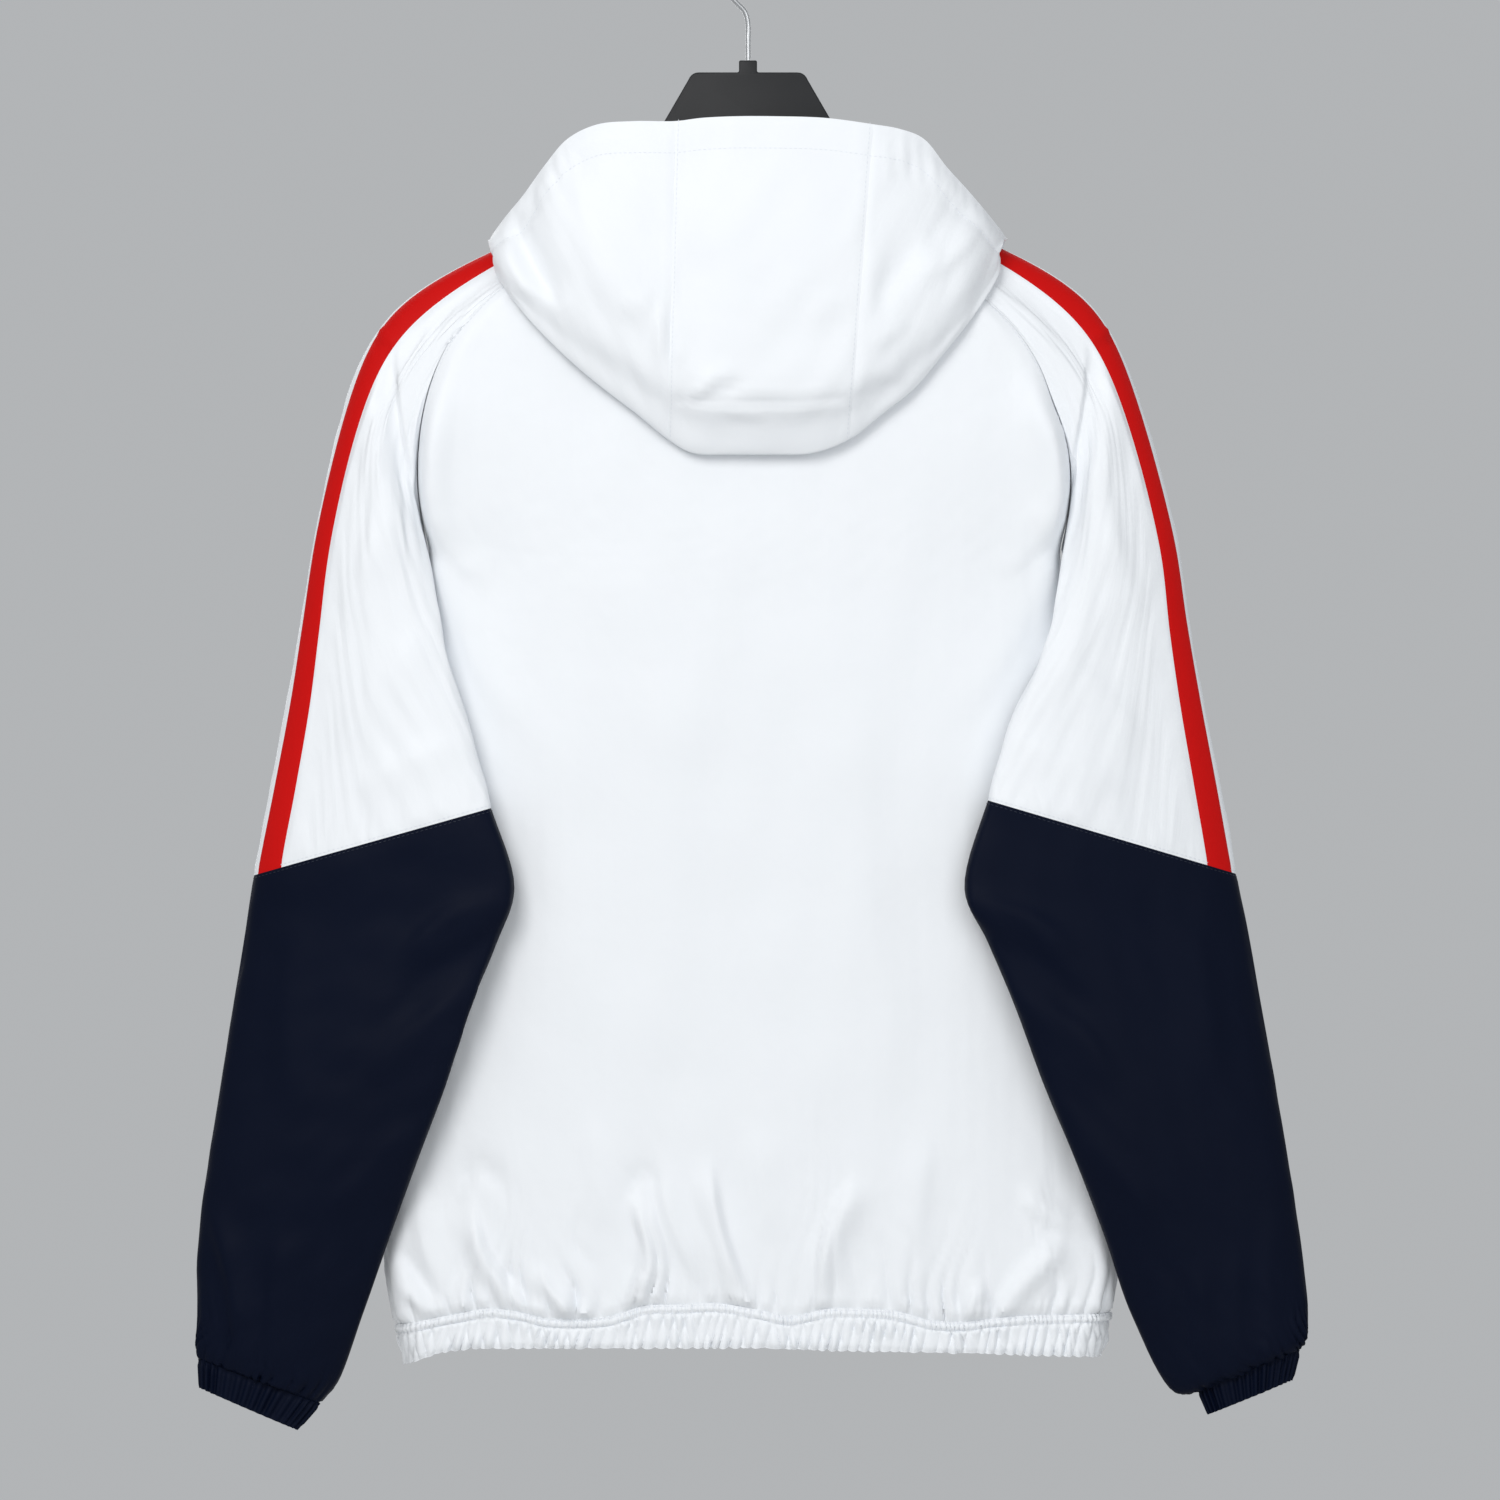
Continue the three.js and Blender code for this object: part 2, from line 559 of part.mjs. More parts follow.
// A ring without the raglan seam's curve
function plainRingPoint(ring, side, degrees) {
  const turn = THREE.MathUtils.degToRad(degrees);
  const share = (1 - Math.cos(turn)) / 2;
  const stand = Math.abs(Math.sin(turn)) ** ringPower;
  const depth = Math.sin(turn) > 0 ? ring.back * stand : -ring.front * stand;
  const lap = Math.sin(turn) > 0 ? ring.lap * Math.exp(-(((degrees - lapAngle) / lapSpread) ** 2)) : 0;
  return point(
    side * (mix(ring.inX, ring.outX, share) - lap),
    mix(ring.inY, ring.outY, share) + depth,
    mix(ring.inDrop, ring.outDrop, share),
  );
}

// The first ring lies on the raglan seams and on the neck between them
function seamRingPoint(side, column, degrees) {
  const back = raglanPoints(side, 1);
  const front = raglanPoints(side, -1);
  if (column < raglanRows) return back[raglanRows - 1 - column];
  const frontColumn = column - topEdgeColumn - 2;
  if (frontColumn >= 0) return front[frontColumn];
  const turned = mix(raglanAngle, -raglanAngle, (degrees - neckEdgeAngle) / (360 - 2 * neckEdgeAngle));
  return neckPoint(side > 0 ? turned : 180 - turned);
}

function ringsOf(table, side) {
  const outline = side > 0 ? table.left : table.right;
  return outline.map((row, i) => ({ ...row, ...table.depths[i] }));
}

function sleeveRows(table, side, backPanel, angleRow) {
  const rings = ringsOf(table, side);
  const underarmDrop = -edges[side].back[raglanRows - 1].z;
  return rings.map((ring, i) => ringAngles(angleRow + i).map((degrees, column) => {
    if (ring.keep === 1) return seamRingPoint(side, column, degrees);
    const place = plainRingPoint(ring, side, degrees);
    if (ring.keep > 0) {
      const kept = seamRingPoint(side, column, degrees).clone();
      kept.sub(plainRingPoint(rings[0], side, degrees)).multiplyScalar(ring.keep);
      place.add(kept);
    }
    const under = -place.z > underarmDrop ? surfaceDepth([backPanel], place.x, place.z, 1) : null;
    const wall = degrees < 180 ? clothWall : 0;
    if (under !== null) place.y = Math.max(place.y, under + sleeveClear + wall);
    return place;
  }));
}

// The surface of some panels at a place seen from the back or front, or null beside them
function surfaceDepth(grids, x, z, face) {
  let best = null;
  const test = (a, b, c) => {
    const whole = (b.x - a.x) * (c.z - a.z) - (c.x - a.x) * (b.z - a.z);
    if (Math.abs(whole) < 1e-9) return;
    const second = ((x - a.x) * (c.z - a.z) - (c.x - a.x) * (z - a.z)) / whole;
    const third = ((b.x - a.x) * (z - a.z) - (x - a.x) * (b.z - a.z)) / whole;
    if (second < 0 || third < 0 || second + third > 1) return;
    const depth = a.y + second * (b.y - a.y) + third * (c.y - a.y);
    if (best === null || face * depth > face * best) best = depth;
  };
  for (const rows of grids) {
    for (let i = 0; i + 1 < rows.length; i += 1) {
      for (let j = 0; j + 1 < rows[i].length; j += 1) {
        test(rows[i][j], rows[i + 1][j], rows[i + 1][j + 1]);
        test(rows[i][j], rows[i + 1][j + 1], rows[i][j + 1]);
      }
    }
  }
  return best;
}

// One section of the hood: up from the neck seam, over and down or out to the fold, then to the rim
function hoodSection(section, backGrids, frontGrids) {
  const seam = neckPoint(section.angle);
  const away = new THREE.Vector3(seam.x / neckHalfWidth ** 2, seam.y / neckBackDepth ** 2, 0).normalize();
  const stand = (up, out) => seam.clone().addScaledVector(away, out).add(new THREE.Vector3(0, 0, up));
  const curl = stand(hoodStand, 2 * hoodCurl);
  const points = [stand(hoodSeamGap, 0), stand(hoodStand, 0), stand(hoodStand + hoodCurl, hoodCurl), curl];
  const fold = point(section.foldX, 0, section.foldDrop);
  const rim = point(section.rimX, 0, section.rimDrop);
  const flat = (from, to) => new THREE.Vector3(to.x - from.x, 0, to.z - from.z).normalize();
  const underEnd = fold.clone().addScaledVector(flat(curl, fold), -hoodFoldReach);
  const outerStart = fold.clone().addScaledVector(flat(fold, rim), hoodFoldReach);
  const face = section.side === 'front' ? -1 : 1;
  const grids = face > 0 ? backGrids : frontGrids;
  const rest = (place, fallback) => {
    const under = section.side === 'ridge' ? null : surfaceDepth(grids, place.x, place.z, face);
    if (under === null) return fallback;
    return face * Math.max(face * under + hoodClear, face * fallback);
  };
  const underDepth = rest(underEnd, section.side === 'ridge' ? 0 : face * hoodClear);
  for (const share of hoodUnderShares) {
    const place = curl.clone().lerp(underEnd, share);
    place.y = rest(place, mix(curl.y, underDepth, share));
    points.push(place);
  }
  fold.y = rest(fold, underDepth) + face * section.loft / 2;
  outerStart.y = rest(outerStart, underDepth) + face * section.loft;
  points.push(fold, outerStart);
  for (const share of hoodOuterShares) {
    const place = outerStart.clone().lerp(rim, share);
    const puff = section.loft > 0 ? hoodPuff * Math.sin(Math.PI * share) : 0;
    const rimDepth = section.side === 'front' ? outerStart.y : section.rimY;
    place.y = rest(place, mix(outerStart.y, rimDepth, share) + puff);
    points.push(place);
  }
  return points;
}

// Rows of the hood from its sections, as a grid with a row along the neck seam first
function hoodRows(backGrids, frontGrids) {
  const sections = hoodSections.map((section) => hoodSection(section, backGrids, frontGrids));
  return sections[0].map((unused, i) => sections.map((points) => points[i]));
}

function columnsOf(rows, first, last) {
  return rows.map((points) => points.slice(first, last + 1));
}

// Names a place to the nearest twentieth of a millimetre
function pointKey(place) {
  return [place.x, place.y, place.z].map((value) => Math.round(value * 20)).join(' ');
}

// Adds each face's direction at its corners, so that panels which share a seam share its directions
function gatherDirections(panel, directions) {
  const { rows, turn, closed } = panel;
  const columns = rows[0].length;
  for (let i = 0; i + 1 < rows.length; i += 1) {
    for (let j = 0; j + (closed ? 0 : 1) < columns; j += 1) {
      const next = (j + 1) % columns;
      const corners = [rows[i][j], rows[i + 1][j], rows[i + 1][next], rows[i][next]];
      const across = corners[1].clone().sub(corners[3]);
      const along = corners[2].clone().sub(corners[0]);
      const direction = across.cross(along).multiplyScalar(turn);
      for (const corner of corners) {
        const key = pointKey(corner);
        if (!directions.has(key)) directions.set(key, new THREE.Vector3());
        directions.get(key).add(direction);
      }
    }
  }
}

// Moves the edge of a panel in from its seams, square to the edge
function pulledIn(panel, pull) {
  const { rows, closed } = panel;
  const lastRow = rows.length - 1;
  const columns = rows[0].length;
  const inward = (place, towards, before, after) => {
    const along = after.clone().sub(before).normalize();
    const step = towards.clone().sub(place);
    return step.addScaledVector(along, -step.dot(along)).normalize().multiplyScalar(pull);
  };
  return rows.map((points, i) => points.map((place, j) => {
    const moved = place.clone();
    const before = points[closed ? (j + columns - 1) % columns : Math.max(j - 1, 0)];
    const after = points[closed ? (j + 1) % columns : Math.min(j + 1, columns - 1)];
    if (i === 0) moved.add(inward(place, rows[1][j], before, after));
    if (i === lastRow) moved.add(inward(place, rows[i - 1][j], before, after));
    const above = rows[Math.max(i - 1, 0)][j];
    const below = rows[Math.min(i + 1, lastRow)][j];
    if (!closed && j === 0) moved.add(inward(place, points[1], above, below));
    if (!closed && j === columns - 1) moved.add(inward(place, points[j - 1], above, below));
    return moved;
  }));
}

// A closed wall with its outer face on the panel's points
function wallGeometry(panel, directions) {
  const { rows, turn, closed, raised, pull = seamPull, wall = clothWall } = panel;
  const outer = pulledIn(panel, pull);
  const columns = rows[0].length;
  const count = rows.length * columns;
  const positions = [];
  const inner = [];
  rows.forEach((points, i) => points.forEach((place, j) => {
    const direction = directions.get(pointKey(place)).clone().normalize();
    const lift = raised ? raised[i][j] : 0;
    positions.push(...outer[i][j].clone().addScaledVector(direction, lift).toArray());
    inner.push(...outer[i][j].clone().addScaledVector(direction, -wall).toArray());
  }));
  const index = [];
  const at = (i, j) => i * columns + (j % columns);
  const triangle = (a, b, c) => index.push(...(turn > 0 ? [a, b, c] : [a, c, b]));
  const cells = closed ? columns : columns - 1;
  for (let i = 0; i + 1 < rows.length; i += 1) {
    for (let j = 0; j < cells; j += 1) {
      const [a, b, c, d] = [at(i, j), at(i, j + 1), at(i + 1, j + 1), at(i + 1, j)];
      triangle(a, d, c);
      triangle(a, c, b);
      triangle(a + count, c + count, d + count);
      triangle(a + count, b + count, c + count);
    }
  }
  const rimStep = (p, q) => {
    triangle(q, p, p + count);
    triangle(q, p + count, q + count);
  };
  for (let j = 0; j < cells; j += 1) {
    rimStep(at(rows.length - 1, j), at(rows.length - 1, j + 1));
    rimStep(at(0, j + 1), at(0, j));
  }
  for (let i = 0; i + 1 < rows.length && !closed; i += 1) {
    rimStep(at(i, 0), at(i + 1, 0));
    rimStep(at(i + 1, columns - 1), at(i, columns - 1));
  }
  const geometry = new THREE.BufferGeometry();
  geometry.setAttribute('position', new THREE.Float32BufferAttribute([...positions, ...inner], 3));
  geometry.setIndex(index);
  return geometry;
}

// Extrudes an outline drawn in x and z along y, evenly about the middle
function plateGeometry(shape, thickness) {
  const settings = { depth: thickness, bevelEnabled: false, curveSegments: 5 };
  const geometry = new THREE.ExtrudeGeometry(shape, settings);
  geometry.rotateX(Math.PI / 2);
  geometry.translate(0, thickness / 2, 0);
  return geometry;
}

// Plate and arms of the hanger, whose top edge follows the shoulders just under the cloth
function hangerGeometry() {
  const armBottom = hangerUnderCloth + armHeight;
  const half = (side) => {
    const ridge = ringsOf(upperRings, side).slice(1, 5);
    const end = ridge.pop();
    return [
      ...plateSide,
      ...ridge.map((ring) => ({ x: ring.outX, drop: ring.outDrop + hangerUnderCloth })),
      ...armTip.map((step) => ({ x: end.outX + step.x, drop: end.outDrop + step.drop })),
      ...ridge.reverse().map((ring) => ({ x: ring.outX - armTaper, drop: ring.outDrop + armBottom })),
      ...lowerEdge,
    ];
  };
  const shape = new THREE.Shape();
  shape.moveTo(-bossHalfWidth, -bossTopDrop);
  shape.lineTo(bossHalfWidth, -bossTopDrop);
  shape.lineTo(bossHalfWidth, -plateTopDrop);
  shape.lineTo(plateTopHalfWidth - plateCorner, -plateTopDrop);
  const flareX = plateTopHalfWidth + plateFlare;
  shape.quadraticCurveTo(plateTopHalfWidth, -plateTopDrop, flareX, -plateTopDrop - plateCorner);
  for (const place of half(1)) shape.lineTo(place.x, -place.drop);
  for (const place of half(-1).reverse().slice(1)) shape.lineTo(-place.x, -place.drop);
  shape.lineTo(-flareX, -plateTopDrop - plateCorner);
  shape.quadraticCurveTo(-plateTopHalfWidth, -plateTopDrop, plateCorner - plateTopHalfWidth, -plateTopDrop);
  shape.lineTo(-bossHalfWidth, -plateTopDrop);
  return plateGeometry(shape, 2 * hangerHalfThickness);
}

// The wire hook: most of a turn, then back to a straight stem over the plate
function hookGeometry() {
  const turnRadius = hookInnerRadius + wireRadius;
  const points = [];
  for (let degrees = hookStartAngle; degrees >= hookEndAngle; degrees -= hookAngleStep) {
    const turn = THREE.MathUtils.degToRad(degrees);
    points.push(point(turnRadius * Math.cos(turn), 0, hookInnerRadius - turnRadius * Math.sin(turn)));
  }
  for (const place of hookStem) points.push(point(place.x, 0, place.drop));
  const section = new THREE.Shape();
  section.absarc(0, 0, wireRadius, 0, 2 * Math.PI, false);
  const extrudePath = new THREE.CatmullRomCurve3(points);
  return new THREE.ExtrudeGeometry(section, { steps: 28, curveSegments: 4, extrudePath });
}

// Joins closed geometries into one
function joined(wasm, parts) {
  const solids = parts.map((part) => {
    const bare = part.clone();
    bare.deleteAttribute('normal');
    bare.deleteAttribute('uv');
    const merged = mergeVertices(bare, 1e-4);
    const mesh = new wasm.Mesh({
      numProp: 3,
      vertProperties: new Float32Array(merged.attributes.position.array),
      triVerts: new Uint32Array(merged.index.array),
    });
    return new wasm.Manifold(mesh);
  });
  const whole = solids.reduce((sum, solid) => sum.add(solid)).getMesh();
  const geometry = new THREE.BufferGeometry();
  geometry.setAttribute('position', new THREE.Float32BufferAttribute(whole.vertProperties, 3));
  geometry.setIndex([...whole.triVerts]);
  return geometry;
}

// The pin's axis stands in front of the slider by the pull's head and its running gap
const sliderDepth = neckFrontDepth + runningGap;
const sliderMiddleDrop = neckDrop + neckFrontFall + sliderDropBelowNeck + sliderHeight / 2;
const pinDepth = sliderDepth + sliderThickness + runningGap + pullHeadRadius;
const pinDrop = sliderMiddleDrop - sliderHeight / 4;

function sliderGeometry(wasm) {
  const body = new THREE.BoxGeometry(sliderWidth, sliderThickness, sliderHeight);
  body.translate(0, -sliderDepth - sliderThickness / 2, -sliderMiddleDrop);
  const earX = pullWidth / 2 + runningGap + earThickness / 2;
  const root = sliderDepth + sliderThickness / 2;
  const earLength = sliderThickness / 2 + earReach;
  const ears = [1, -1].map((side) => {
    const ear = new THREE.BoxGeometry(earThickness, earLength, earHeight);
    ear.translate(side * earX, -root - earLength / 2, -pinDrop);
    return ear;
  });
  const pin = new THREE.CylinderGeometry(pinRadius, pinRadius, 2 * earX, 10);
  pin.rotateZ(Math.PI / 2);
  pin.translate(0, -pinDepth, -pinDrop);
  return joined(wasm, [body, ...ears, pin]);
}

// The pull tab hangs from a round head with the pin's hole
function pullGeometry() {
  const half = pullThickness / 2;
  const meet = Math.asin(half / pullHeadRadius);
  const shape = new THREE.Shape();
  shape.absarc(0, 0, pullHeadRadius, meet - Math.PI / 2, 1.5 * Math.PI - meet, false);
  shape.lineTo(-half, -pullLength);
  shape.lineTo(half, -pullLength);
  const hole = new THREE.Path();
  hole.absarc(0, 0, pinHoleRadius, 0, 2 * Math.PI, true);
  shape.holes.push(hole);
  const settings = { depth: pullWidth, bevelEnabled: false, curveSegments: 12 };
  const geometry = new THREE.ExtrudeGeometry(shape, settings);
  geometry.translate(0, 0, -pullWidth / 2);
  const toY = new THREE.Vector3(0, 1, 0);
  const toZ = new THREE.Vector3(0, 0, 1);
  const toX = new THREE.Vector3(1, 0, 0);
  geometry.applyMatrix4(new THREE.Matrix4().makeBasis(toY, toZ, toX));
  return geometry;
}

const whiteCloth = { color: 0xeef1f5, roughness: 0.75, metalness: 0 };
const redCloth = { color: 0xcd1614, roughness: 0.7, metalness: 0 };
const navyCloth = { color: 0x0c1426, roughness: 0.6, metalness: 0 };
const zipFinish = { color: 0xd9dde2, roughness: 0.5, metalness: 0 };
const metal = { color: 0xb8bcc2, roughness: 0.3, metalness: 1 };
const darkPlastic = { color: 0x3a3b3e, roughness: 0.45, metalness: 0 };

// A gathered elastic band, whose waves stand out below its first row
function band(name, rows, turn, finish, closed) {
  return { name, rows, turn, finish, closed, raised: gathers(rows, 0), pull: bandPull };
}

// The two halves of the zip, each from the centre line to the edge of its front and hem band
function zipHalfRows(side, rows) {
  return rows.map((points) => {
    const outer = side > 0 ? points[0] : points[points.length - 1];
    const meeting = new THREE.Vector3(0, outer.y, outer.z);
    return side > 0 ? [meeting, outer] : [outer, meeting];
  });
}

// Panels of a sleeve, from the raglan seams to the cuff
function sleevePanels(side, word, back) {
  const upper = sleeveRows(upperRings, side, back, 0);
  const lower = sleeveRows(lowerRings, side, back, upper.length);
  const last = upper[0].length - 1;
  const turn = -side;
  const white = { turn, finish: whiteCloth };
  const navy = { turn, finish: navyCloth, pull: colourSeamPull };
  return {
    upperBack: { name: `sleeve_upper_back_${word}`, rows: columnsOf(upper, 0, stripeFirst), ...white },
    upperFront: { name: `sleeve_upper_front_${word}`, rows: columnsOf(upper, stripeLast, last), ...white },
    stripe: { name: `stripe_${word}`, rows: columnsOf(upper, stripeFirst, stripeLast), turn, finish: redCloth },
    lowerBack: { name: `sleeve_lower_back_${word}`, rows: columnsOf(lower, 0, topEdgeColumn), ...navy },
    lowerFront: { name: `sleeve_lower_front_${word}`, rows: columnsOf(lower, topEdgeColumn, last), ...navy },
    cuff: band(`cuff_${word}`, cuffPoints(side), turn, navyCloth, true),
  };
}

function clothPanels() {
  const back = backRows();
  const panels = [
    { name: 'back_panel', rows: back, turn: 1, finish: whiteCloth },
    band('hem_back', hemBandRows(back[bodyRows - 1], hemWavesBack), 1, whiteCloth, false),
  ];
  const backGrids = [back];
  const frontGrids = [];
  for (const side of [1, -1]) {
    const word = side > 0 ? 'left' : 'right';
    const front = frontRows(side);
    const hem = hemBandRows(front[bodyRows - 1], hemWavesFront);
    const zipRows = zipHalfRows(side, [...front, ...hem.slice(1)]);
    const sleeve = sleevePanels(side, word, back);
    panels.push(
      { name: `front_${word}`, rows: front, turn: 1, finish: whiteCloth },
      band(`hem_front_${word}`, hem, 1, whiteCloth, false),
      { name: `zip_${word}`, rows: zipRows, turn: 1, finish: zipFinish },
      ...Object.values(sleeve),
    );
    backGrids.push(sleeve.upperBack.rows, sleeve.stripe.rows);
    frontGrids.push(front, sleeve.upperFront.rows);
  }
  const hood = hoodRows(backGrids, frontGrids);
  const hoodEnd = hood[0].length - 1;
  const white = { turn: -1, finish: whiteCloth };
  panels.push(
    { name: 'hood_side_left', rows: columnsOf(hood, 0, hoodSeamLeft), ...white },
    { name: 'hood_centre', rows: columnsOf(hood, hoodSeamLeft, hoodSeamRight), ...white },
    { name: 'hood_side_right', rows: columnsOf(hood, hoodSeamRight, hoodEnd), ...white },
  );
  return panels;
}

// Rings of a cuff, from the sleeve's end to its free edge
function cuffPoints(side) {
  const top = ringsOf(lowerRings, side).pop();
  const end = side > 0 ? cuffEnds.left : cuffEnds.right;
  const rows = [];
  for (let i = 0; i <= cuffRows; i += 1) {
    const ring = {};
    for (const column of Object.keys(end)) ring[column] = mix(top[column], end[column], i / cuffRows);
    const points = [];
    for (let j = 0; j < 2 * cuffWaves; j += 1) {
      points.push(plainRingPoint(ring, side, (180 * j) / cuffWaves));
    }
    rows.push(points);
  }
  return rows;
}

function meshOf(name, geometry, finish) {
  const mesh = new THREE.Mesh(geometry, new THREE.MeshStandardMaterial(finish));
  mesh.name = name;
  return mesh;
}

const wasm = await Module();
wasm.setup();

const jacket = new THREE.Group();
const panels = clothPanels();
const directions = new Map();
for (const panel of panels) gatherDirections(panel, directions);
// Body and sleeve face each other at the underarm, so the wall there lies above the crease between them
for (const side of [1, -1]) {
  const underarm = edges[side].back[raglanRows - 1];
  directions.set(pointKey(underarm), new THREE.Vector3(0, 0, -1));
}
for (const panel of panels) jacket.add(meshOf(panel.name, wallGeometry(panel, directions), panel.finish));
jacket.add(meshOf('zip_slider', sliderGeometry(wasm), metal));
const pull = meshOf('zip_pull', pullGeometry(), metal);
pull.position.set(0, -pinDepth, -pinDrop);
jacket.add(pull);
jacket.add(meshOf('hanger', hangerGeometry(), darkPlastic));
jacket.add(meshOf('hanger_hook', hookGeometry(), metal));

export default jacket;
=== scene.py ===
"""The looks of a hooded windbreaker jacket that hangs on a hanger, seen from its back.

Every class below makes one sub-assembly. A cut is worked out in millimetres, with the jacket's back towards
+Y, the wearer's left towards +X and drops measured down from the inside top of the hanger's hook. It is made
a mesh in metres.
"""

import logging
from dataclasses import dataclass, field
from enum import Enum
from typing import Any, Sequence

import bmesh
import bpy
import numpy as np
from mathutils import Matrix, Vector


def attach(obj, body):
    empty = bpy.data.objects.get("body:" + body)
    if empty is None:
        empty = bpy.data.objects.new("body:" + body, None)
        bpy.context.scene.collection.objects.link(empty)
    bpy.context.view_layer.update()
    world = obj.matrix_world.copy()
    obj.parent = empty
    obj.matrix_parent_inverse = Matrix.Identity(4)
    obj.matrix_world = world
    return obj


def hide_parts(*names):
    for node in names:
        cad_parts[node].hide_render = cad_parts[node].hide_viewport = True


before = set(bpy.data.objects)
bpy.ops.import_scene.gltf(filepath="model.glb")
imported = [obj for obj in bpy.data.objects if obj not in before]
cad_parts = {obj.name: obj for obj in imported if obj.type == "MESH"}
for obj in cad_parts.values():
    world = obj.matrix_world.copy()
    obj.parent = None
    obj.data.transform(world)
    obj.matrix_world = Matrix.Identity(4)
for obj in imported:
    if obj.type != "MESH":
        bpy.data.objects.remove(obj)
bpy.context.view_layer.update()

log = logging.getLogger("jacket")
Array = np.ndarray
Table = dict[str, Array]

METRES = 0.001
PHOTO_SCALE = 0.65
CLOTH_EDGE = 62.0
WIRE_EDGE = 40.0
HARD_EDGE = 35.0
JACKET_BODY = "jacket"
TAB_BODY = "pull_tab"


class Side(Enum):
    """A side of the wearer, with the sign of its x."""

    LEFT = 1
    RIGHT = -1

    @property
    def word(self) -> str:
        """The side's name in pieces and columns."""
        return self.name.lower()


class Face(Enum):
    """The back or front of the jacket, with the sign of its y."""

    BACK = 1
    FRONT = -1


class Edge(Enum):
    """An edge of a panel's grid."""

    TOP = "first row"
    BOTTOM = "last row"
    FIRST = "first column"
    LAST = "last column"


def table(columns: str, *rows: Sequence[float]) -> Table:
    """Makes a table with named columns.

    Args:
        columns: The columns' names, with spaces between them.
        rows: The rows, each with a number for every column.

    Returns:
        The columns by name.
    """
    values = np.array(rows, float)
    return {name: values[:, k] for k, name in enumerate(columns.split())}


def mix(low: Any, high: Any, share: Any) -> Any:
    """The value at a share of the way from low to high."""
    return low + (high - low) * share


def smooth(share: Any) -> Any:
    """A share from 0 to 1 that starts and ends softly."""
    held = np.clip(share, 0.0, 1.0)
    return held * held * (3.0 - 2.0 * held)


def look_up(rows: Table, key: str, column: str, place: Any) -> Any:
    """The value of a column at a place in a table whose rows run up or down in the key column.

    Args:
        rows: The table.
        key: The column to look in.
        column: The column to give.
        place: One or more places in the key column.

    Returns:
        The value or values there.
    """
    order = np.argsort(rows[key])
    return np.interp(place, rows[key][order], rows[column][order])


def point(x: Any, y: Any, drop: Any) -> Array:
    """A point or points from x, y and a drop."""
    return np.stack(np.broadcast_arrays(x, y, -np.asarray(drop, float)), axis=-1).astype(float)


def unit(vectors: Array) -> Array:
    """Vectors made one long."""
    return vectors / np.maximum(np.linalg.norm(vectors, axis=-1, keepdims=True), 1e-9)


def eased(points: Array, steps: int, closed: bool = False) -> Array:
    """Puts more points on smooth curves through rows of points.

    Args:
        points: Points along the first axis, with any number of lines beside each other.
        steps: How many steps each step becomes.
        closed: Whether the last point is followed by the first.

    Returns:
        The points with those between them.
    """
    if closed:
        points = np.concatenate([points, points[:1]])
    steps_between = np.diff(points, axis=0)
    lengths = np.maximum(np.linalg.norm(steps_between, axis=-1, keepdims=True), 1e-6) ** 0.5
    slopes = steps_between / lengths
    tangents = np.empty_like(points)
    wide = (points[2:] - points[:-2]) / (lengths[:-1] + lengths[1:])
    tangents[1:-1] = slopes[:-1] - wide + slopes[1:]
    tangents[0], tangents[-1] = slopes[0], slopes[-1]
    if closed:
        turn = slopes[-1] - (points[1] - points[-2]) / (lengths[-1] + lengths[0]) + slopes[0]
        tangents[0] = tangents[-1] = turn
    made = []
    for step in range(steps):
        t = step / steps
        start, end = (1 + 2 * t) * (1 - t) ** 2, t * t * (3 - 2 * t)
        leave, reach = t * (1 - t) ** 2, t * t * (t - 1)
        made.append(
            start * points[:-1] + end * points[1:] + lengths * (leave * tangents[:-1] + reach * tangents[1:])
        )
    fine = np.stack(made, axis=1).reshape(-1, *points.shape[1:])
    return fine if closed else np.concatenate([fine, points[-1:]])


def eased_grid(grid: Array, row_steps: int, column_steps: int) -> Array:
    """Puts more points on a smooth surface through a grid's points.

    Args:
        grid: The points.
        row_steps: How many steps each step down becomes.
        column_steps: How many steps each step across becomes.

    Returns:
        The points with those between them.
    """
    fine = eased(grid, row_steps)
    return eased(fine.transpose(1, 0, 2), column_steps).transpose(1, 0, 2)


def arc_lengths(points: Array) -> Array:
    """Lengths along points from the first one."""
    return np.concatenate([[0.0], np.linalg.norm(np.diff(points, axis=0), axis=1).cumsum()])


def from_sides(grid: Array) -> Array:
    """How far a grid's points lie from its nearer side, along its rows."""
    across = np.pad(np.linalg.norm(np.diff(grid, axis=1), axis=-1).cumsum(axis=1), ((0, 0), (1, 0)))
    return np.minimum(across, across[:, -1:] - across)


def filled_out(grid: Array, places: Table) -> Array:
    """Fills a panel out towards the back beside its sides, so that it is rounder there.

    Args:
        grid: The panel's points.
        places: How far, at which drops, how soon it runs out up and down, and how far in it is fullest.

    Returns:
        The points, moved along y alone.
    """
    inward = from_sides(grid)
    made = grid.copy()
    for height, drop, length, inset in zip(*places.values()):
        beside = inward / inset
        near = np.exp(-(((-grid[..., 2] - drop) / length) ** 4))
        made[..., 1] += height * near * beside * np.exp(1 - beside)
    return made


def relaxed(grid: Array, passes: int, reach: float) -> Array:
    """Evens out how far a panel's points stand out, down its columns and away from its sides.

    Args:
        grid: The panel's points.
        passes: How often each point takes the mean of its neighbours.
        reach: How far from the sides the full effect starts.

    Returns:
        The points, moved along y alone.
    """
    free = smooth(from_sides(grid) / reach)[1:-1]
    made = grid.copy()
    depth = made[..., 1]
    for _ in range(passes):
        mean = (depth[:-2] + 2 * depth[1:-1] + depth[2:]) / 4
        depth[1:-1] += free * (mean - depth[1:-1])
    return made


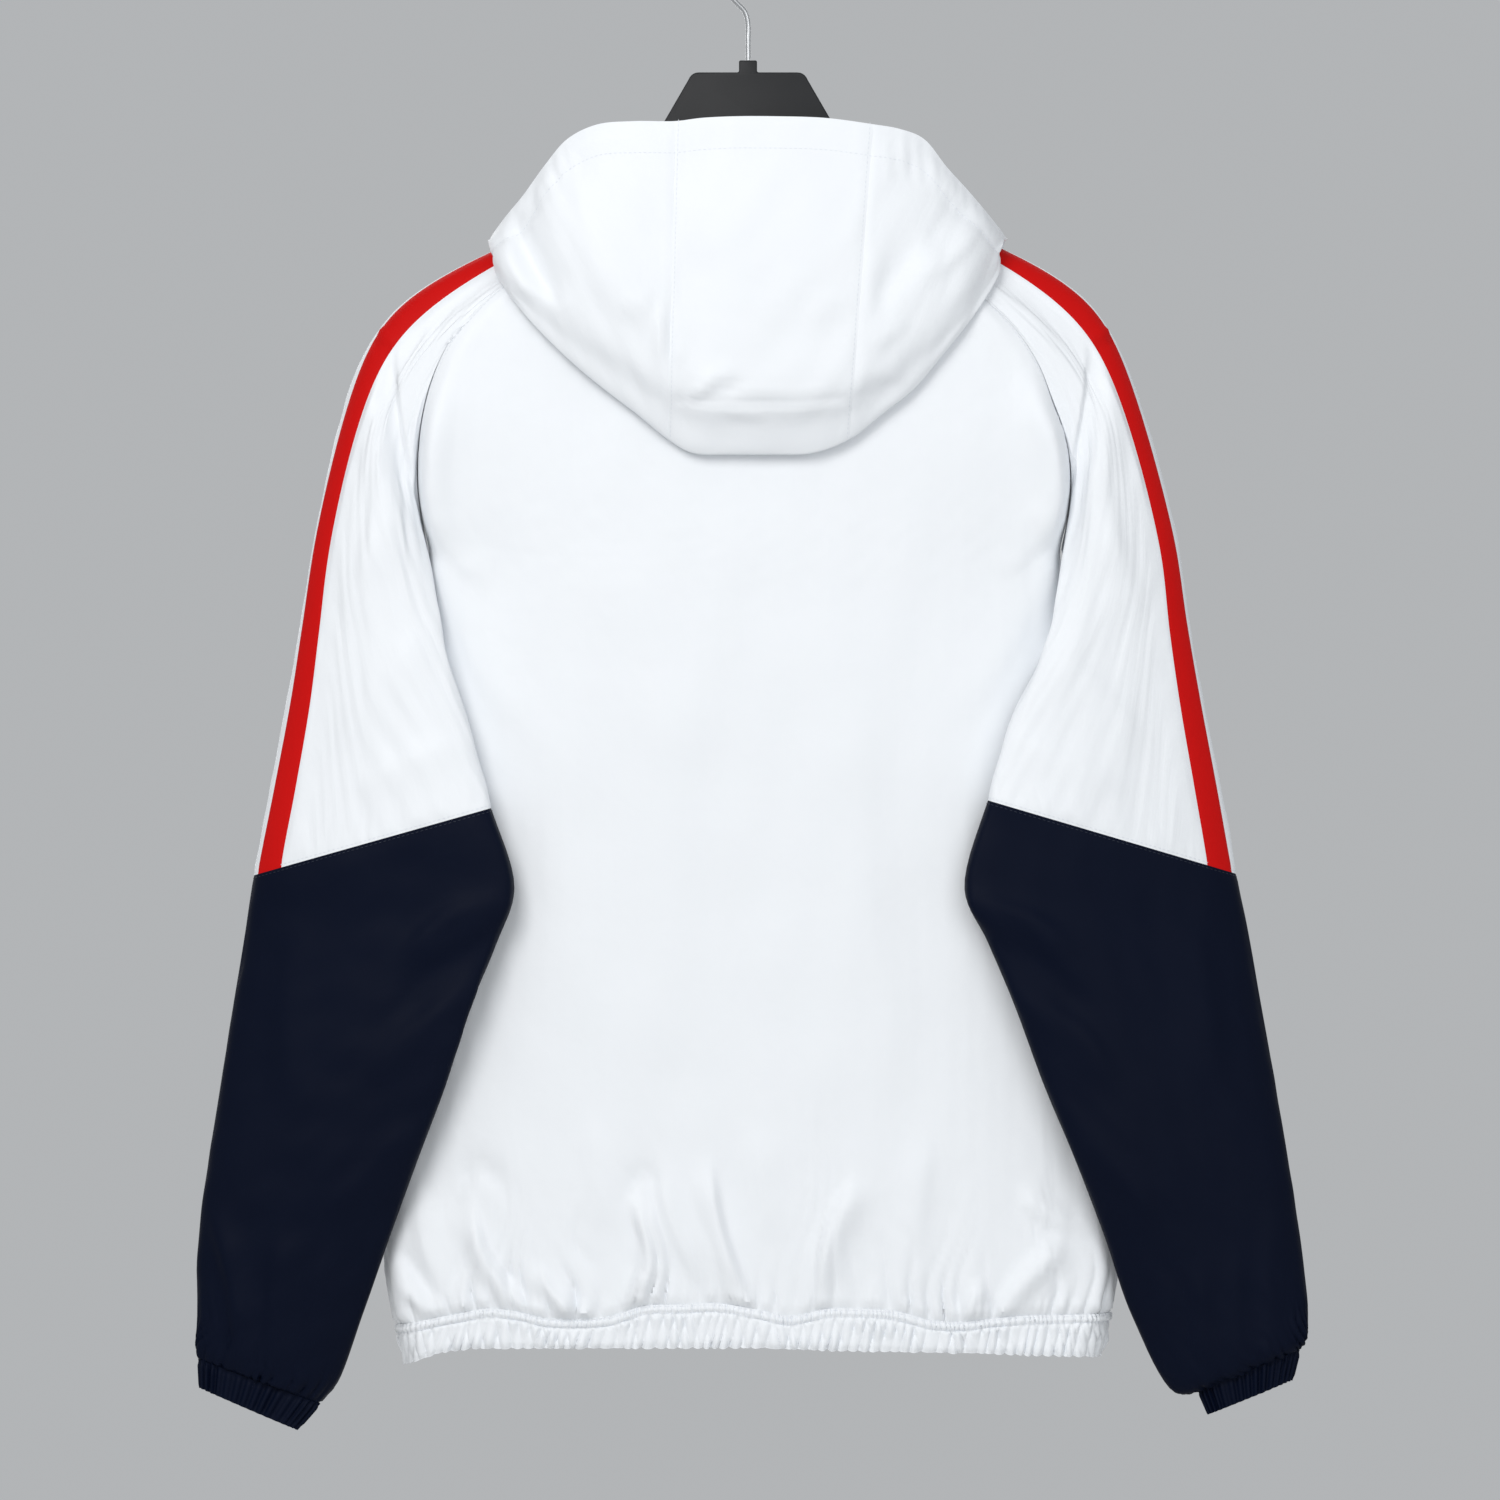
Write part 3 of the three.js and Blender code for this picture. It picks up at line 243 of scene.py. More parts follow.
@dataclass(frozen=True)
class BodyCut:
    """The back and fronts between the neck, the raglan seams, the side seams and the hem band."""

    neck_half_width: float = 84.0
    neck_back_depth: float = 38.0
    neck_front_depth: float = 42.0
    neck_drop: float = 168.0
    neck_front_fall: float = 80.0
    neck_fall_power: float = 1.6
    raglan_neck_x: float = 74.0
    section_power: float = 2.6
    chest_depth: float = 44.0
    hem_depth: float = 47.0
    even_share: float = 0.6
    back_columns: int = 24
    front_columns: int = 10
    zip_half: float = 5.0
    side_rows: tuple[float, ...] = (0.03, 0.09, 0.17, 0.27, 0.38, 0.5, 0.62, 0.72, 0.81, 0.885, 0.95, 1.0)
    raglan: Table = field(default_factory=lambda: table(
        "left left_drop right right_drop depth",
        (74, 168, 74, 168, 18),
        (118, 196, 115, 200, 27),
        (162, 227, 155, 234, 31),
        (178, 242, 174, 253, 32),
        (194, 261, 189, 276, 32),
        (206, 287, 199, 302, 31),
        (213, 317, 207, 324, 28),
        (215, 351, 210, 350, 21),
        (212, 378, 208, 376, 12),
        (208, 398, 204, 396, 0),
    ))
    side_seam: Table = field(default_factory=lambda: table(
        "drop left right",
        (390, 208, 204),
        (450, 211, 207),
        (560, 218, 216),
        (680, 227, 226),
        (800, 236, 237),
        (862, 239, 243),
        (892, 231, 237),
        (930, 226, 233),
    ))
    hem_line: Table = field(default_factory=lambda: table(
        "x drop",
        (228, 901),
        (201, 895),
        (164, 888),
        (129, 896),
        (96, 896),
        (67, 887),
        (9, 885),
        (-22, 895),
        (-49, 889),
        (-90, 889),
        (-128, 899),
        (-174, 894),
        (-238, 893),
    ))
    hem_bottom: Table = field(default_factory=lambda: table(
        "x drop",
        (222, 926),
        (200, 918),
        (180, 915),
        (0, 914),
        (-60, 916),
        (-150, 918),
        (-231, 921),
    ))

    @property
    def seam_rows(self) -> int:
        """How many rows lie along a raglan seam."""
        return len(self.raglan["depth"])

    @property
    def raglan_angle(self) -> float:
        """Where a raglan seam meets the neck, in degrees round from the wearer's left."""
        return float(np.degrees(np.arccos(self.raglan_neck_x / self.neck_half_width)))

    def neck(self, degrees: Any) -> Array:
        """Points of the neck seam.

        Args:
            degrees: Angles round from the wearer's left over the back.

        Returns:
            The points.
        """
        turn = np.radians(degrees)
        depth = np.where(np.sin(turn) > 0, self.neck_back_depth, self.neck_front_depth)
        fall = self.neck_front_fall * np.maximum(-np.sin(turn), 0) ** self.neck_fall_power
        return point(self.neck_half_width * np.cos(turn), depth * np.sin(turn), self.neck_drop + fall)

    def raglan_points(self, side: Side, face: Face) -> Array:
        """Points of a raglan seam.

        Args:
            side: The sleeve's side.
            face: Whether it is the back or the front seam.

        Returns:
            The points, from the neck to the underarm.
        """
        count = self.seam_rows
        start = face.value * self.raglan_angle
        if side is Side.RIGHT:
            start = 180.0 - start
        low = -self.neck(-self.raglan_angle)[2] - self.neck_drop
        fall = 0.0 if face is Face.BACK else low
        drop = self.raglan[f"{side.word}_drop"] + fall * (1 - np.arange(count) / (count - 1)) ** 2
        points = point(side.value * self.raglan[side.word], face.value * self.raglan["depth"], drop)
        points[0] = self.neck(start)
        return points

    def edge_points(self, side: Side, face: Face) -> Array:
        """Points of the body's edge.

        Args:
            side: Which edge.
            face: Whether it is the back's or the front's.

        Returns:
            The points, down the raglan seam and then the side seam.
        """
        seam = self.raglan_points(side, face)
        ends = -1 if side is Side.RIGHT else 0
        end_x = side.value * look_up(self.side_seam, "drop", side.word, self.hem_line["drop"][ends])
        end_drop = look_up(self.hem_line, "x", "drop", end_x)
        drop = mix(-seam[-1, 2], end_drop, np.array(self.side_rows))
        below = point(side.value * look_up(self.side_seam, "drop", side.word, drop), 0.0, drop)
        return np.concatenate([seam, below])

    def grid(self, face: Face, shares: Array) -> Array:
        """The body's surface on its back or front.

        Args:
            face: Which half of the body.
            shares: For each row, the places across it from the left edge, 0, to the right edge, 1.

        Returns:
            A grid of points, with a row for each row of shares.
        """
        left = self.edge_points(Side.LEFT, face)[:, None, :]
        right = self.edge_points(Side.RIGHT, face)[:, None, :]
        rows = np.arange(len(left))[:, None]
        at_seam = rows < self.seam_rows
        down = np.concatenate([np.zeros(self.seam_rows), self.side_rows])[:, None]
        x = mix(left[..., 0], right[..., 0], shares)
        rise = (1 - np.minimum(np.abs(2 * shares - 1), 1) ** self.section_power) ** (1 / self.section_power)
        edge_drop = mix(-left[..., 2], -right[..., 2], shares)
        centre_drop = edge_drop
        if face is Face.FRONT:
            underarm = -left[self.seam_rows - 1, 0, 2]
            fallen = mix(self.neck_drop + self.neck_front_fall, underarm, rows / (self.seam_rows - 1))
            centre_drop = np.where(at_seam, fallen, edge_drop)
        ends = [look_up(self.hem_line, "x", "drop", edge[..., 0]) for edge in (left, right)]
        shift = look_up(self.hem_line, "x", "drop", x) - mix(*ends, shares)
        drop = mix(edge_drop, centre_drop, rise) + shift * down**2
        neck_depth = self.neck_back_depth if face is Face.BACK else self.neck_front_depth
        upper = mix(neck_depth, self.chest_depth, smooth(rows / self.seam_rows))
        centre = np.where(at_seam, upper, mix(self.chest_depth, self.hem_depth, down))
        edge_depth = mix(left[..., 1], right[..., 1], shares)
        depth = edge_depth + face.value * (centre - np.abs(edge_depth)) * rise
        made = point(x, depth, drop)
        angles = np.degrees(np.arccos(x[0] / self.neck_half_width))
        made[0] = self.neck(face.value * angles)
        return made

    def back_grid(self) -> Array:
        """The back panel's points."""
        even = np.linspace(0, 1, self.back_columns + 1)
        shares = mix((1 - np.cos(np.pi * even)) / 2, even, self.even_share)
        return self.grid(Face.BACK, np.tile(shares, (self.seam_rows + len(self.side_rows), 1)))

    def front_grid(self, side: Side) -> Array:
        """A front's points.

        Args:
            side: Which front.

        Returns:
            A grid whose columns run from the wearer's right to the left.
        """
        left = self.edge_points(Side.LEFT, Face.FRONT)[:, :1]
        right = self.edge_points(Side.RIGHT, Face.FRONT)[:, :1]
        to_zip = (left - side.value * self.zip_half) / (left - right)
        even = np.linspace(0, 1, self.front_columns + 1)[None, :]
        start = 0.0 if side is Side.LEFT else 1.0
        shares = mix(start, to_zip, mix(1 - np.cos(np.pi / 2 * even), even, self.even_share))
        made = self.grid(Face.FRONT, shares)
        return made[:, ::-1] if side is Side.LEFT else made


@dataclass(frozen=True)
class SleeveCut:
    """A sleeve as rings from the raglan seams to the top of the cuff.

    Out is the top edge of the arm and in the underarm edge. The depth columns say how far each edge lies
    towards the back, how far the back and front stand off the line between them, what share of the raglan
    seam's curve a ring keeps, and how far the back laps over the body beside its underarm edge.
    """

    body: BodyCut
    ring_power: float = 0.66
    neck_edge: float = 128.0
    stripe_inner: float = 140.0
    stripe_edge_shoulder: float = 177.0
    stripe_edge_arm: float = 166.0
    stripe_turns_at: int = 3
    stripe_turns_over: int = 4
    front_edge: float = 200.0
    lap_angle: float = 30.0
    lap_spread: float = 16.0
    clear: float = 3.0
    colour_seam: int = 12
    left: Table = field(default_factory=lambda: table(
        "out_x out_drop in_x in_drop",
        (84, 168, 208, 398),
        (128, 183, 210, 402),
        (169, 201, 211, 407),
        (205, 218, 212, 413),
        (231, 235, 212, 419),
        (246, 254, 212, 427),
        (257, 278, 209, 438),
        (270, 325, 203, 455),
        (284, 391, 192, 478),
        (292, 443, 182, 505),
        (300, 494, 174, 534),
        (311, 552, 169, 550),
        (322, 608, 166, 564),
        (328, 647, 151, 616),
        (335, 690, 163, 653),
        (342, 735, 179, 692),
        (349, 778, 196, 745),
        (355, 820, 213, 790),
        (359, 861, 232, 842),
        (359, 895, 250, 893),
        (360, 914, 267, 938),
        (358, 923, 279, 952),
    ))
    right: Table = field(default_factory=lambda: table(
        "out_x out_drop in_x in_drop",
        (84, 168, 204, 396),
        (128, 182, 206, 400),
        (168, 198, 207, 405),
        (201, 216, 208, 411),
        (224, 231, 208, 417),
        (238, 250, 208, 425),
        (249, 276, 205, 436),
        (264, 325, 199, 453),
        (280, 391, 186, 476),
        (288, 443, 172, 502),
        (297, 494, 163, 530),
        (308, 552, 158, 546),
        (318, 607, 155, 559),
        (326, 645, 140, 617),
        (334, 690, 155, 651),
        (342, 735, 172, 691),
        (349, 778, 192, 745),
        (356, 820, 211, 790),
        (362, 861, 231, 842),
        (365, 891, 250, 896),
        (364, 909, 278, 945),
        (359, 917, 293, 943),
    ))
    depths: Table = field(default_factory=lambda: table(
        "out_y in_y back front keep lap",
        (0, 0, 26, 26, 1, 0),
        (0, 1, 26, 26, 0.85, 0),
        (0, 2, 27, 25, 0.68, 3),
        (0, 3, 28, 24, 0.5, 6),
        (0, 5, 23, 22, 0.33, 9),
        (0, 9, 31, 20, 0.2, 11),
        (1, 15, 30, 16, 0.1, 10),
        (2, 24, 27, 12, 0.03, 7),
        (4, 34, 25, 10, 0, 3),
        (6, 41, 24, 9, 0, 0),
        (7, 46, 23, 8, 0, 0),
        (8, 50, 22, 8, 0, 0),
        (8, 52, 22, 8, 0, 0),
        (8, 54, 21, 8, 0, 0),
        (8, 54, 21, 8, 0, 0),
        (9, 52, 20, 8, 0, 0),
        (9, 48, 20, 9, 0, 0),
        (9, 42, 20, 10, 0, 0),
        (9, 33, 18, 12, 0, 0),
        (9, 21, 17, 14, 0, 0),
        (9, 14, 15, 14, 0, 0),
        (9, 12, 11, 11, 0, 0),
    ))
    cuff_ends: Table = field(default_factory=lambda: table(
        "side out_x out_drop in_x in_drop out_y in_y back front lap",
        (1, 357, 942, 294, 969, 9, 12, 10, 10, 0),
        (-1, 354, 937, 300, 959, 9, 12, 10, 10, 0),
    ))

    def ring(self, side: Side, row: int) -> dict[str, float]:
        """A ring's outline and depths by name."""
        outline = self.left if side is Side.LEFT else self.right
        return {name: float(values[row]) for name, values in {**outline, **self.depths}.items()}

    def angles(self, row: int) -> Array:
        """Angles of a ring's columns.

        Args:
            row: The ring's row.

        Returns:
            The angles in degrees, from the underarm edge over the back and the top edge to the front.
        """
        last = self.body.seam_rows - 1
        turned = smooth((row - self.stripe_turns_at) / self.stripe_turns_over)
        edge = mix(self.stripe_edge_shoulder, self.stripe_edge_arm, turned)
        back = self.neck_edge * np.arange(last + 1) / last
        middle = [self.stripe_inner, (self.stripe_inner + edge) / 2, edge, 180.0, self.front_edge]
        return np.concatenate([back, middle, 360 - back[::-1]])

    def plain_ring(self, ring: dict[str, float], side: Side, degrees: Any) -> Array:
        """Points of a ring without the raglan seam's curve.

        Args:
            ring: The ring's outline and depths.
            side: Which sleeve.
            degrees: The angles of its columns.

        Returns:
            The points.
        """
        turn = np.radians(degrees)
        share = (1 - np.cos(turn)) / 2
        stand = np.abs(np.sin(turn)) ** self.ring_power
        behind = np.sin(turn) > 0
        depth = np.where(behind, ring["back"] * stand, -ring["front"] * stand)
        near = np.exp(-(((degrees - self.lap_angle) / self.lap_spread) ** 2))
        lap = np.where(behind, ring["lap"] * near, 0.0)
        return point(
            side.value * (mix(ring["in_x"], ring["out_x"], share) - lap),
            mix(ring["in_y"], ring["out_y"], share) + depth,
            mix(ring["in_drop"], ring["out_drop"], share),
        )

    def seam_ring(self, side: Side) -> Array:
        """The first ring of a sleeve.

        Args:
            side: Which sleeve.

        Returns:
            The ring's points, on the raglan seams and on the neck between them.
        """
        back = self.body.raglan_points(side, Face.BACK)[::-1]
        front = self.body.raglan_points(side, Face.FRONT)
        between = self.angles(0)[len(back):-len(front)]
        share = (between - self.neck_edge) / (360 - 2 * self.neck_edge)
        turned = mix(self.body.raglan_angle, -self.body.raglan_angle, share)
        neck = self.body.neck(turned if side is Side.LEFT else 180 - turned)
        return np.concatenate([back, neck, front])

    def grid(self, side: Side, under: "Surface") -> Array:
        """The sleeve's points, clear of the back that it lies over.

        Args:
            side: Which sleeve.
            under: The back panel.

        Returns:
            A grid with a row for each ring.
        """
        seam = self.seam_ring(side)
        first = self.ring(side, 0)
        underarm = seam[0, 2]
        rows = []
        for row in range(len(self.depths["keep"])):
            ring, degrees = self.ring(side, row), self.angles(row)
            places = self.plain_ring(ring, side, degrees)
            if ring["keep"] == 1:
                places = seam.copy()
            elif ring["keep"] > 0:
                places += ring["keep"] * (seam - self.plain_ring(first, side, degrees))
            for place in places:
                depth = under.depth(place[0], place[2]) if place[2] < underarm else None
                if depth is not None:
                    place[1] = max(place[1], depth + self.clear)
            rows.append(places)
        return np.array(rows)


class Surface:
    """Panels that something rests on, as triangles seen square on from the back or front."""

    def __init__(self, grids: Sequence[Array], face: Face) -> None:
        """Lists the triangles of the grids.

        Args:
            grids: The panels' points.
            face: The side that they are seen from.
        """
        corners = []
        for grid in grids:
            a, b = grid[:-1, :-1], grid[1:, :-1]
            c, d = grid[1:, 1:], grid[:-1, 1:]
            for three in ((a, b, c), (a, c, d)):
                corners.append(np.stack([corner.reshape(-1, 3) for corner in three], axis=1))
        self.corners = np.concatenate(corners)
        self.sign = face.value

    def depth(self, x: float, z: float) -> float | None:
        """How far back or forward the surface reaches at a place.

        Args:
            x: The place across.
            z: The place's height.

        Returns:
            The depth there, or None beside the surface.
        """
        a, b, c = self.corners[:, 0], self.corners[:, 1], self.corners[:, 2]
        ab, ac = b - a, c - a
        whole = ab[:, 0] * ac[:, 2] - ac[:, 0] * ab[:, 2]
        whole = np.where(np.abs(whole) < 1e-9, np.nan, whole)
        dx, dz = x - a[:, 0], z - a[:, 2]
        second = (dx * ac[:, 2] - ac[:, 0] * dz) / whole
        third = (ab[:, 0] * dz - dx * ab[:, 2]) / whole
        inside = (second >= 0) & (third >= 0) & (second + third <= 1)
        if not inside.any():
            return None
        depths = (a[:, 1] + second * ab[:, 1] + third * ac[:, 1])[inside]
        return float(self.sign * (self.sign * depths).max())


@dataclass(frozen=True)
class HoodCut:
    """The hood, folded down the back, as sections round the neck.

    The fold is a section's lowest line, the rim its face edge, and the loft how far its layers stand apart.
    """

    body: BodyCut
    clear: float = 4.6
    seam_gap: float = 0.5
    stand: float = 7.0
    curl: float = 2.4
    puff: float = 7.0
    fold_reach: float = 3.0
    fold_loft: float = 0.3
    full_at: float = 36.0
    under_shares: tuple[float, ...] = (0.16, 0.34, 0.56, 0.78, 1.0)
    outer_shares: tuple[float, ...] = (0.07, 0.15, 0.28, 0.5, 0.75, 1.0)
    seam_left: int = 15
    seam_right: int = 20
    sections: Table = field(default_factory=lambda: table(
        "angle fold_x fold_drop rim_x rim_drop rim_y loft side",
        (-86, 11, 259, 14, 264, 0, 0, -1),
        (-68, 43, 255, 48, 262, 0, 0, -1),
        (-48, 81, 240, 92, 250, 0, 0, -1),
        (-28, 115, 217, 132, 228, 0, 0, -1),
        (-12, 140, 199, 160, 208, 0, 0, -1),
        (-5, 146, 191, 166, 201, 0, 0, -1),
        (0, 150, 187, 169, 195, 0, 0, 0),
        (6, 159, 199, 169, 196, 9, 2, 1),
        (12, 165, 212, 167, 192, 14, 6, 1),
        (20, 157, 228, 158, 180, 24, 9, 1),
        (28, 144, 245, 146, 166, 33, 13, 1),
        (36, 128, 262, 132, 147, 40, 16, 1),
        (44, 111, 278, 117, 130, 46, 18, 1),
        (51, 94, 292, 98, 121, 51, 20, 1),
        (58, 73, 308, 74, 119, 55, 21, 1),
        (66, 52, 325, 47, 119, 56, 22, 1),
        (74, 36, 334, 30, 117, 57, 23, 1),
        (84, 12, 335, 8, 116, 58, 24, 1),
        (95, -15, 335, -18, 116, 58, 24, 1),
        (106, -42, 334, -50, 117, 57, 23, 1),
        (116, -66, 325, -81, 121, 55, 22, 1),
        (124, -88, 308, -99, 124, 51, 20, 1),
        (132, -107, 293, -114, 130, 46, 18, 1),
        (140, -125, 272, -129, 148, 40, 16, 1),
        (148, -141, 252, -143, 163, 33, 13, 1),
        (157, -155, 232, -157, 179, 24, 9, 1),
        (167, -164, 213, -166, 190, 14, 6, 1),
        (174, -159, 198, -168, 194, 9, 2, 1),
        (180, -150, 185, -168, 193, 0, 0, 0),
        (185, -146, 190, -166, 200, 0, 0, -1),
        (192, -140, 199, -160, 208, 0, 0, -1),
        (208, -115, 217, -132, 228, 0, 0, -1),
        (228, -81, 240, -92, 250, 0, 0, -1),
        (248, -43, 255, -48, 262, 0, 0, -1),
        (266, -11, 259, -14, 264, 0, 0, -1),
    ))

    def section(self, row: int, back: Surface, front: Surface) -> Array:
        """One section: up from the neck seam, over and down or out to the fold, then to the rim.

        Args:
            row: The section's row in the table.
            back: What the hood lies on behind.
            front: What it lies on in front.

        Returns:
            The section's points.
        """
        at = {name: float(values[row]) for name, values in self.sections.items()}
        face = -1 if at["side"] < 0 else 1
        seam = self.body.neck(at["angle"])
        away = unit(seam[:2] / np.array([self.body.neck_half_width, self.body.neck_back_depth]) ** 2)
        curl = seam + np.array([*(away * 2 * self.curl), self.stand])
        fold = point(at["fold_x"], 0.0, at["fold_drop"])
        rim = point(at["rim_x"], 0.0, at["rim_drop"])
        level = np.array([1.0, 0.0, 1.0])
        under_end = fold - self.fold_reach * unit((fold - curl) * level)
        outer_start = fold + self.fold_reach * unit((rim - fold) * level)

        def rest(place: Array, otherwise: float) -> float:
            """The depth of a place that rests on what is under it, or otherwise a given depth."""
            under = None if at["side"] == 0 else (back if face > 0 else front).depth(place[0], place[2])
            return otherwise if under is None else face * max(face * under + self.clear, face * otherwise)

        under_depth = rest(under_end, 0.0 if at["side"] == 0 else face * self.clear)
        rolled = [(self.seam_gap, 0), (self.stand, 0), (self.stand + self.curl, self.curl)]
        points = [seam + np.array([*(away * out), up]) for up, out in rolled] + [curl]
        for share in self.under_shares:
            place = mix(curl, under_end, share)
            place[1] = rest(place, mix(curl[1], under_depth, share))
            points.append(place)
        low = at["loft"] * self.fold_loft
        full_depth = rest(outer_start, under_depth) + face * at["loft"]
        fold[1] = rest(fold, under_depth) + face * low / 2
        outer_start[1] = rest(outer_start, under_depth) + face * low
        points += [fold, outer_start]
        length = np.linalg.norm((rim - outer_start) * level)
        for share in self.outer_shares:
            place = mix(outer_start, rim, share)
            puff = self.puff * np.sin(np.pi * share) if at["loft"] > 0 else 0.0
            rim_depth = outer_start[1] if at["side"] < 0 else at["rim_y"]
            risen = mix(outer_start[1], full_depth, smooth(share * length / self.full_at))
            place[1] = rest(place, mix(risen, rim_depth, share) + puff)
            points.append(place)
        return np.array(points)

    def grid(self, back: Surface, front: Surface) -> Array:
        """The hood's points, with a row along the neck seam first."""
        count = len(self.sections["angle"])
        return np.array([self.section(row, back, front) for row in range(count)]).transpose(1, 0, 2)


@dataclass
class Places:
    """Where a panel's points are, for working out its relief."""

    x: Array
    drop: Array
    across: Array
    down: Array
    to_edge: dict[Edge, Array]


@dataclass(frozen=True)
class Creases:
    """Soft ridges and troughs seen square on, each from one place in the picture to another.

    The ends are places in the picture, in its own pixels. Bend is how far the middle stands aside, as a share
    of the length, height is in millimetres and below zero for a trough, steep and soft are the widths of its
    two sides in millimetres, and start and end the shares of its height at its ends.
    """

    rows: Table
    centre_x: float = 748.0
    top_y: float = -60.0
    turns: int = 6

    def height(self, at: Places) -> Array:
        """How far the creases stand out.

        Args:
            at: Where the panel's points are.

        Returns:
            The height at each point.
        """
        total = np.zeros_like(at.x)
        for x1, y1, x2, y2, bend, height, steep, soft, start, end in zip(*self.rows.values()):
            share = np.linspace(0, 1, self.turns + 1)
            px = mix(x1, x2, share) - (y2 - y1) * bend * np.sin(np.pi * share)
            py = mix(y1, y2, share) + (x2 - x1) * bend * np.sin(np.pi * share)
            line = (self.centre_x - px) * PHOTO_SCALE, (py - self.top_y) * PHOTO_SCALE
            away, side, along = self._beside(*line, at)
            width = np.where(side > 0, steep, soft)
            grown = mix(start, 1, smooth(along * 3)) * mix(end, 1, smooth((1 - along) * 3))
            total += height * grown * np.exp(-((away / width) ** 2))
        return total

    @staticmethod
    def _beside(line_x: Array, line_drop: Array, at: Places) -> tuple[Array, Array, Array]:
        """Where a panel's points lie beside a line.

        Args:
            line_x: The places across of the line's points.
            line_drop: Their drops.
            at: Where the panel's points are.

        Returns:
            How far each point is from the line, on which side it is, and how far along the line from 0 to 1.
        """
        best = np.full(at.x.shape, np.inf)
        side, along = np.zeros_like(best), np.zeros_like(best)
        last = len(line_x) - 1
        for k in range(last):
            dx, dd = line_x[k + 1] - line_x[k], line_drop[k + 1] - line_drop[k]
            length = dx * dx + dd * dd
            share = np.clip(((at.x - line_x[k]) * dx + (at.drop - line_drop[k]) * dd) / length, 0, 1)
            ox, od = at.x - line_x[k] - share * dx, at.drop - line_drop[k] - share * dd
            away = np.hypot(ox, od)
            nearer = away < best
            best = np.where(nearer, away, best)
            side = np.where(nearer, np.sign(ox * dd - od * dx), side)
            along = np.where(nearer, (k + share) / last, along)
        return best, side, along


@dataclass(frozen=True)
class Ripples:
    """Slow unevenness of a cloth that hangs, as a sum of waves in random directions."""

    height: float
    length: float
    seed: int
    stretch: float = 1.0
    waves: int = 7

    def at(self, x: Array, down: Array) -> Array:
        """The waves' height.

        Args:
            x: Places across a panel.
            down: Places down it.

        Returns:
            The height at each place.
        """
        random = np.random.default_rng(self.seed)
        total = np.zeros_like(x)
        for _ in range(self.waves):
            turn, phase = random.uniform(0, np.pi), random.uniform(0, 2 * np.pi)
            pitch = 2 * np.pi / (self.length * random.uniform(0.7, 1.5))
            wave = np.sin(pitch * (x * np.cos(turn) + down * np.sin(turn) / self.stretch) + phase)
            total += wave
        return self.height * total / self.waves**0.5


def pleated(along: Array, pitch: float, seed: int) -> Array:
    """Uneven small folds with round ridges and narrow valleys.

    Args:
        along: Lengths along the edge that is drawn up.
        pitch: The mean distance from one fold to the next.
        seed: What their unevenness starts from.

    Returns:
        Heights from -1 in the valleys to 1 on the ridges.
    """
    flat = np.zeros_like(along)
    wide = Ripples(pitch * 0.55, pitch * 8, seed).at(along, flat)
    narrow = Ripples(pitch * 0.2, pitch * 2.7, seed + 50).at(along, flat)
    return 2 * np.abs(np.sin(np.pi * (along + wide + narrow) / pitch)) ** 0.62 - 1


@dataclass(frozen=True)
class Gathers:
    """Small folds that run out from an edge that is drawn up, uneven in height, reach and pitch."""

    edge: Edge
    pitch: float
    height: float
    reach: float
    seed: int
    start: float = 1.5

    def at(self, places: Places) -> Array:
        """How far the gathers stand out.

        Args:
            places: Where the panel's points are.

        Returns:
            The height at each point.
        """
        along = places.across if self.edge in (Edge.TOP, Edge.BOTTOM) else places.down
        away = places.to_edge[self.edge]
        lean = along + away * Ripples(0.25, self.pitch * 6, self.seed + 3).at(along, away)
        varied = Ripples(1.0, self.pitch * 3.1, self.seed + 1).at(along, away * 0.3)
        uneven = np.clip(1 + 0.55 * varied, 0.2, 2.2)
        spread = Ripples(1.0, self.pitch * 2.3, self.seed + 2).at(along, away * 0.1)
        far = self.reach * np.clip(1 + 0.6 * spread, 0.3, 2.4)
        folds = self.height * uneven * pleated(lean, self.pitch, self.seed)
        return folds * np.exp(-away / far) * smooth(away / self.start)


@dataclass
class Relief:
    """All that stands out of a panel's plain form, and how it runs out at sewn edges."""

    creases: Sequence[Creases] = ()
    ripples: Sequence[Ripples] = ()
    gathers: Sequence[Gathers] = ()
    held: dict[Edge, float] = field(default_factory=dict)
    seam_dip: float = 0.35
    seam_width: float = 1.3

    def height(self, at: Places) -> Array:
        """How far a panel's points stand out.

        Args:
            at: Where they are.

        Returns:
            The height at each point.
        """
        hold = np.ones_like(at.x)
        for edge, reach in self.held.items():
            hold = hold * smooth(at.to_edge[edge] / reach)
        total = sum((part.height(at) for part in self.creases), np.zeros_like(at.x))
        total = total + sum((part.at(at.across, at.down) for part in self.ripples), np.zeros_like(at.x))
        total = total * hold
        for part in self.gathers:
            rest = np.ones_like(at.x)
            for edge, reach in self.held.items():
                if edge is not part.edge:
                    rest = rest * smooth(at.to_edge[edge] / reach)
            total = total + part.at(at) * rest
        for edge in self.held:
            total = total - self.seam_dip * np.exp(-((at.to_edge[edge] / self.seam_width) ** 2))
        return total


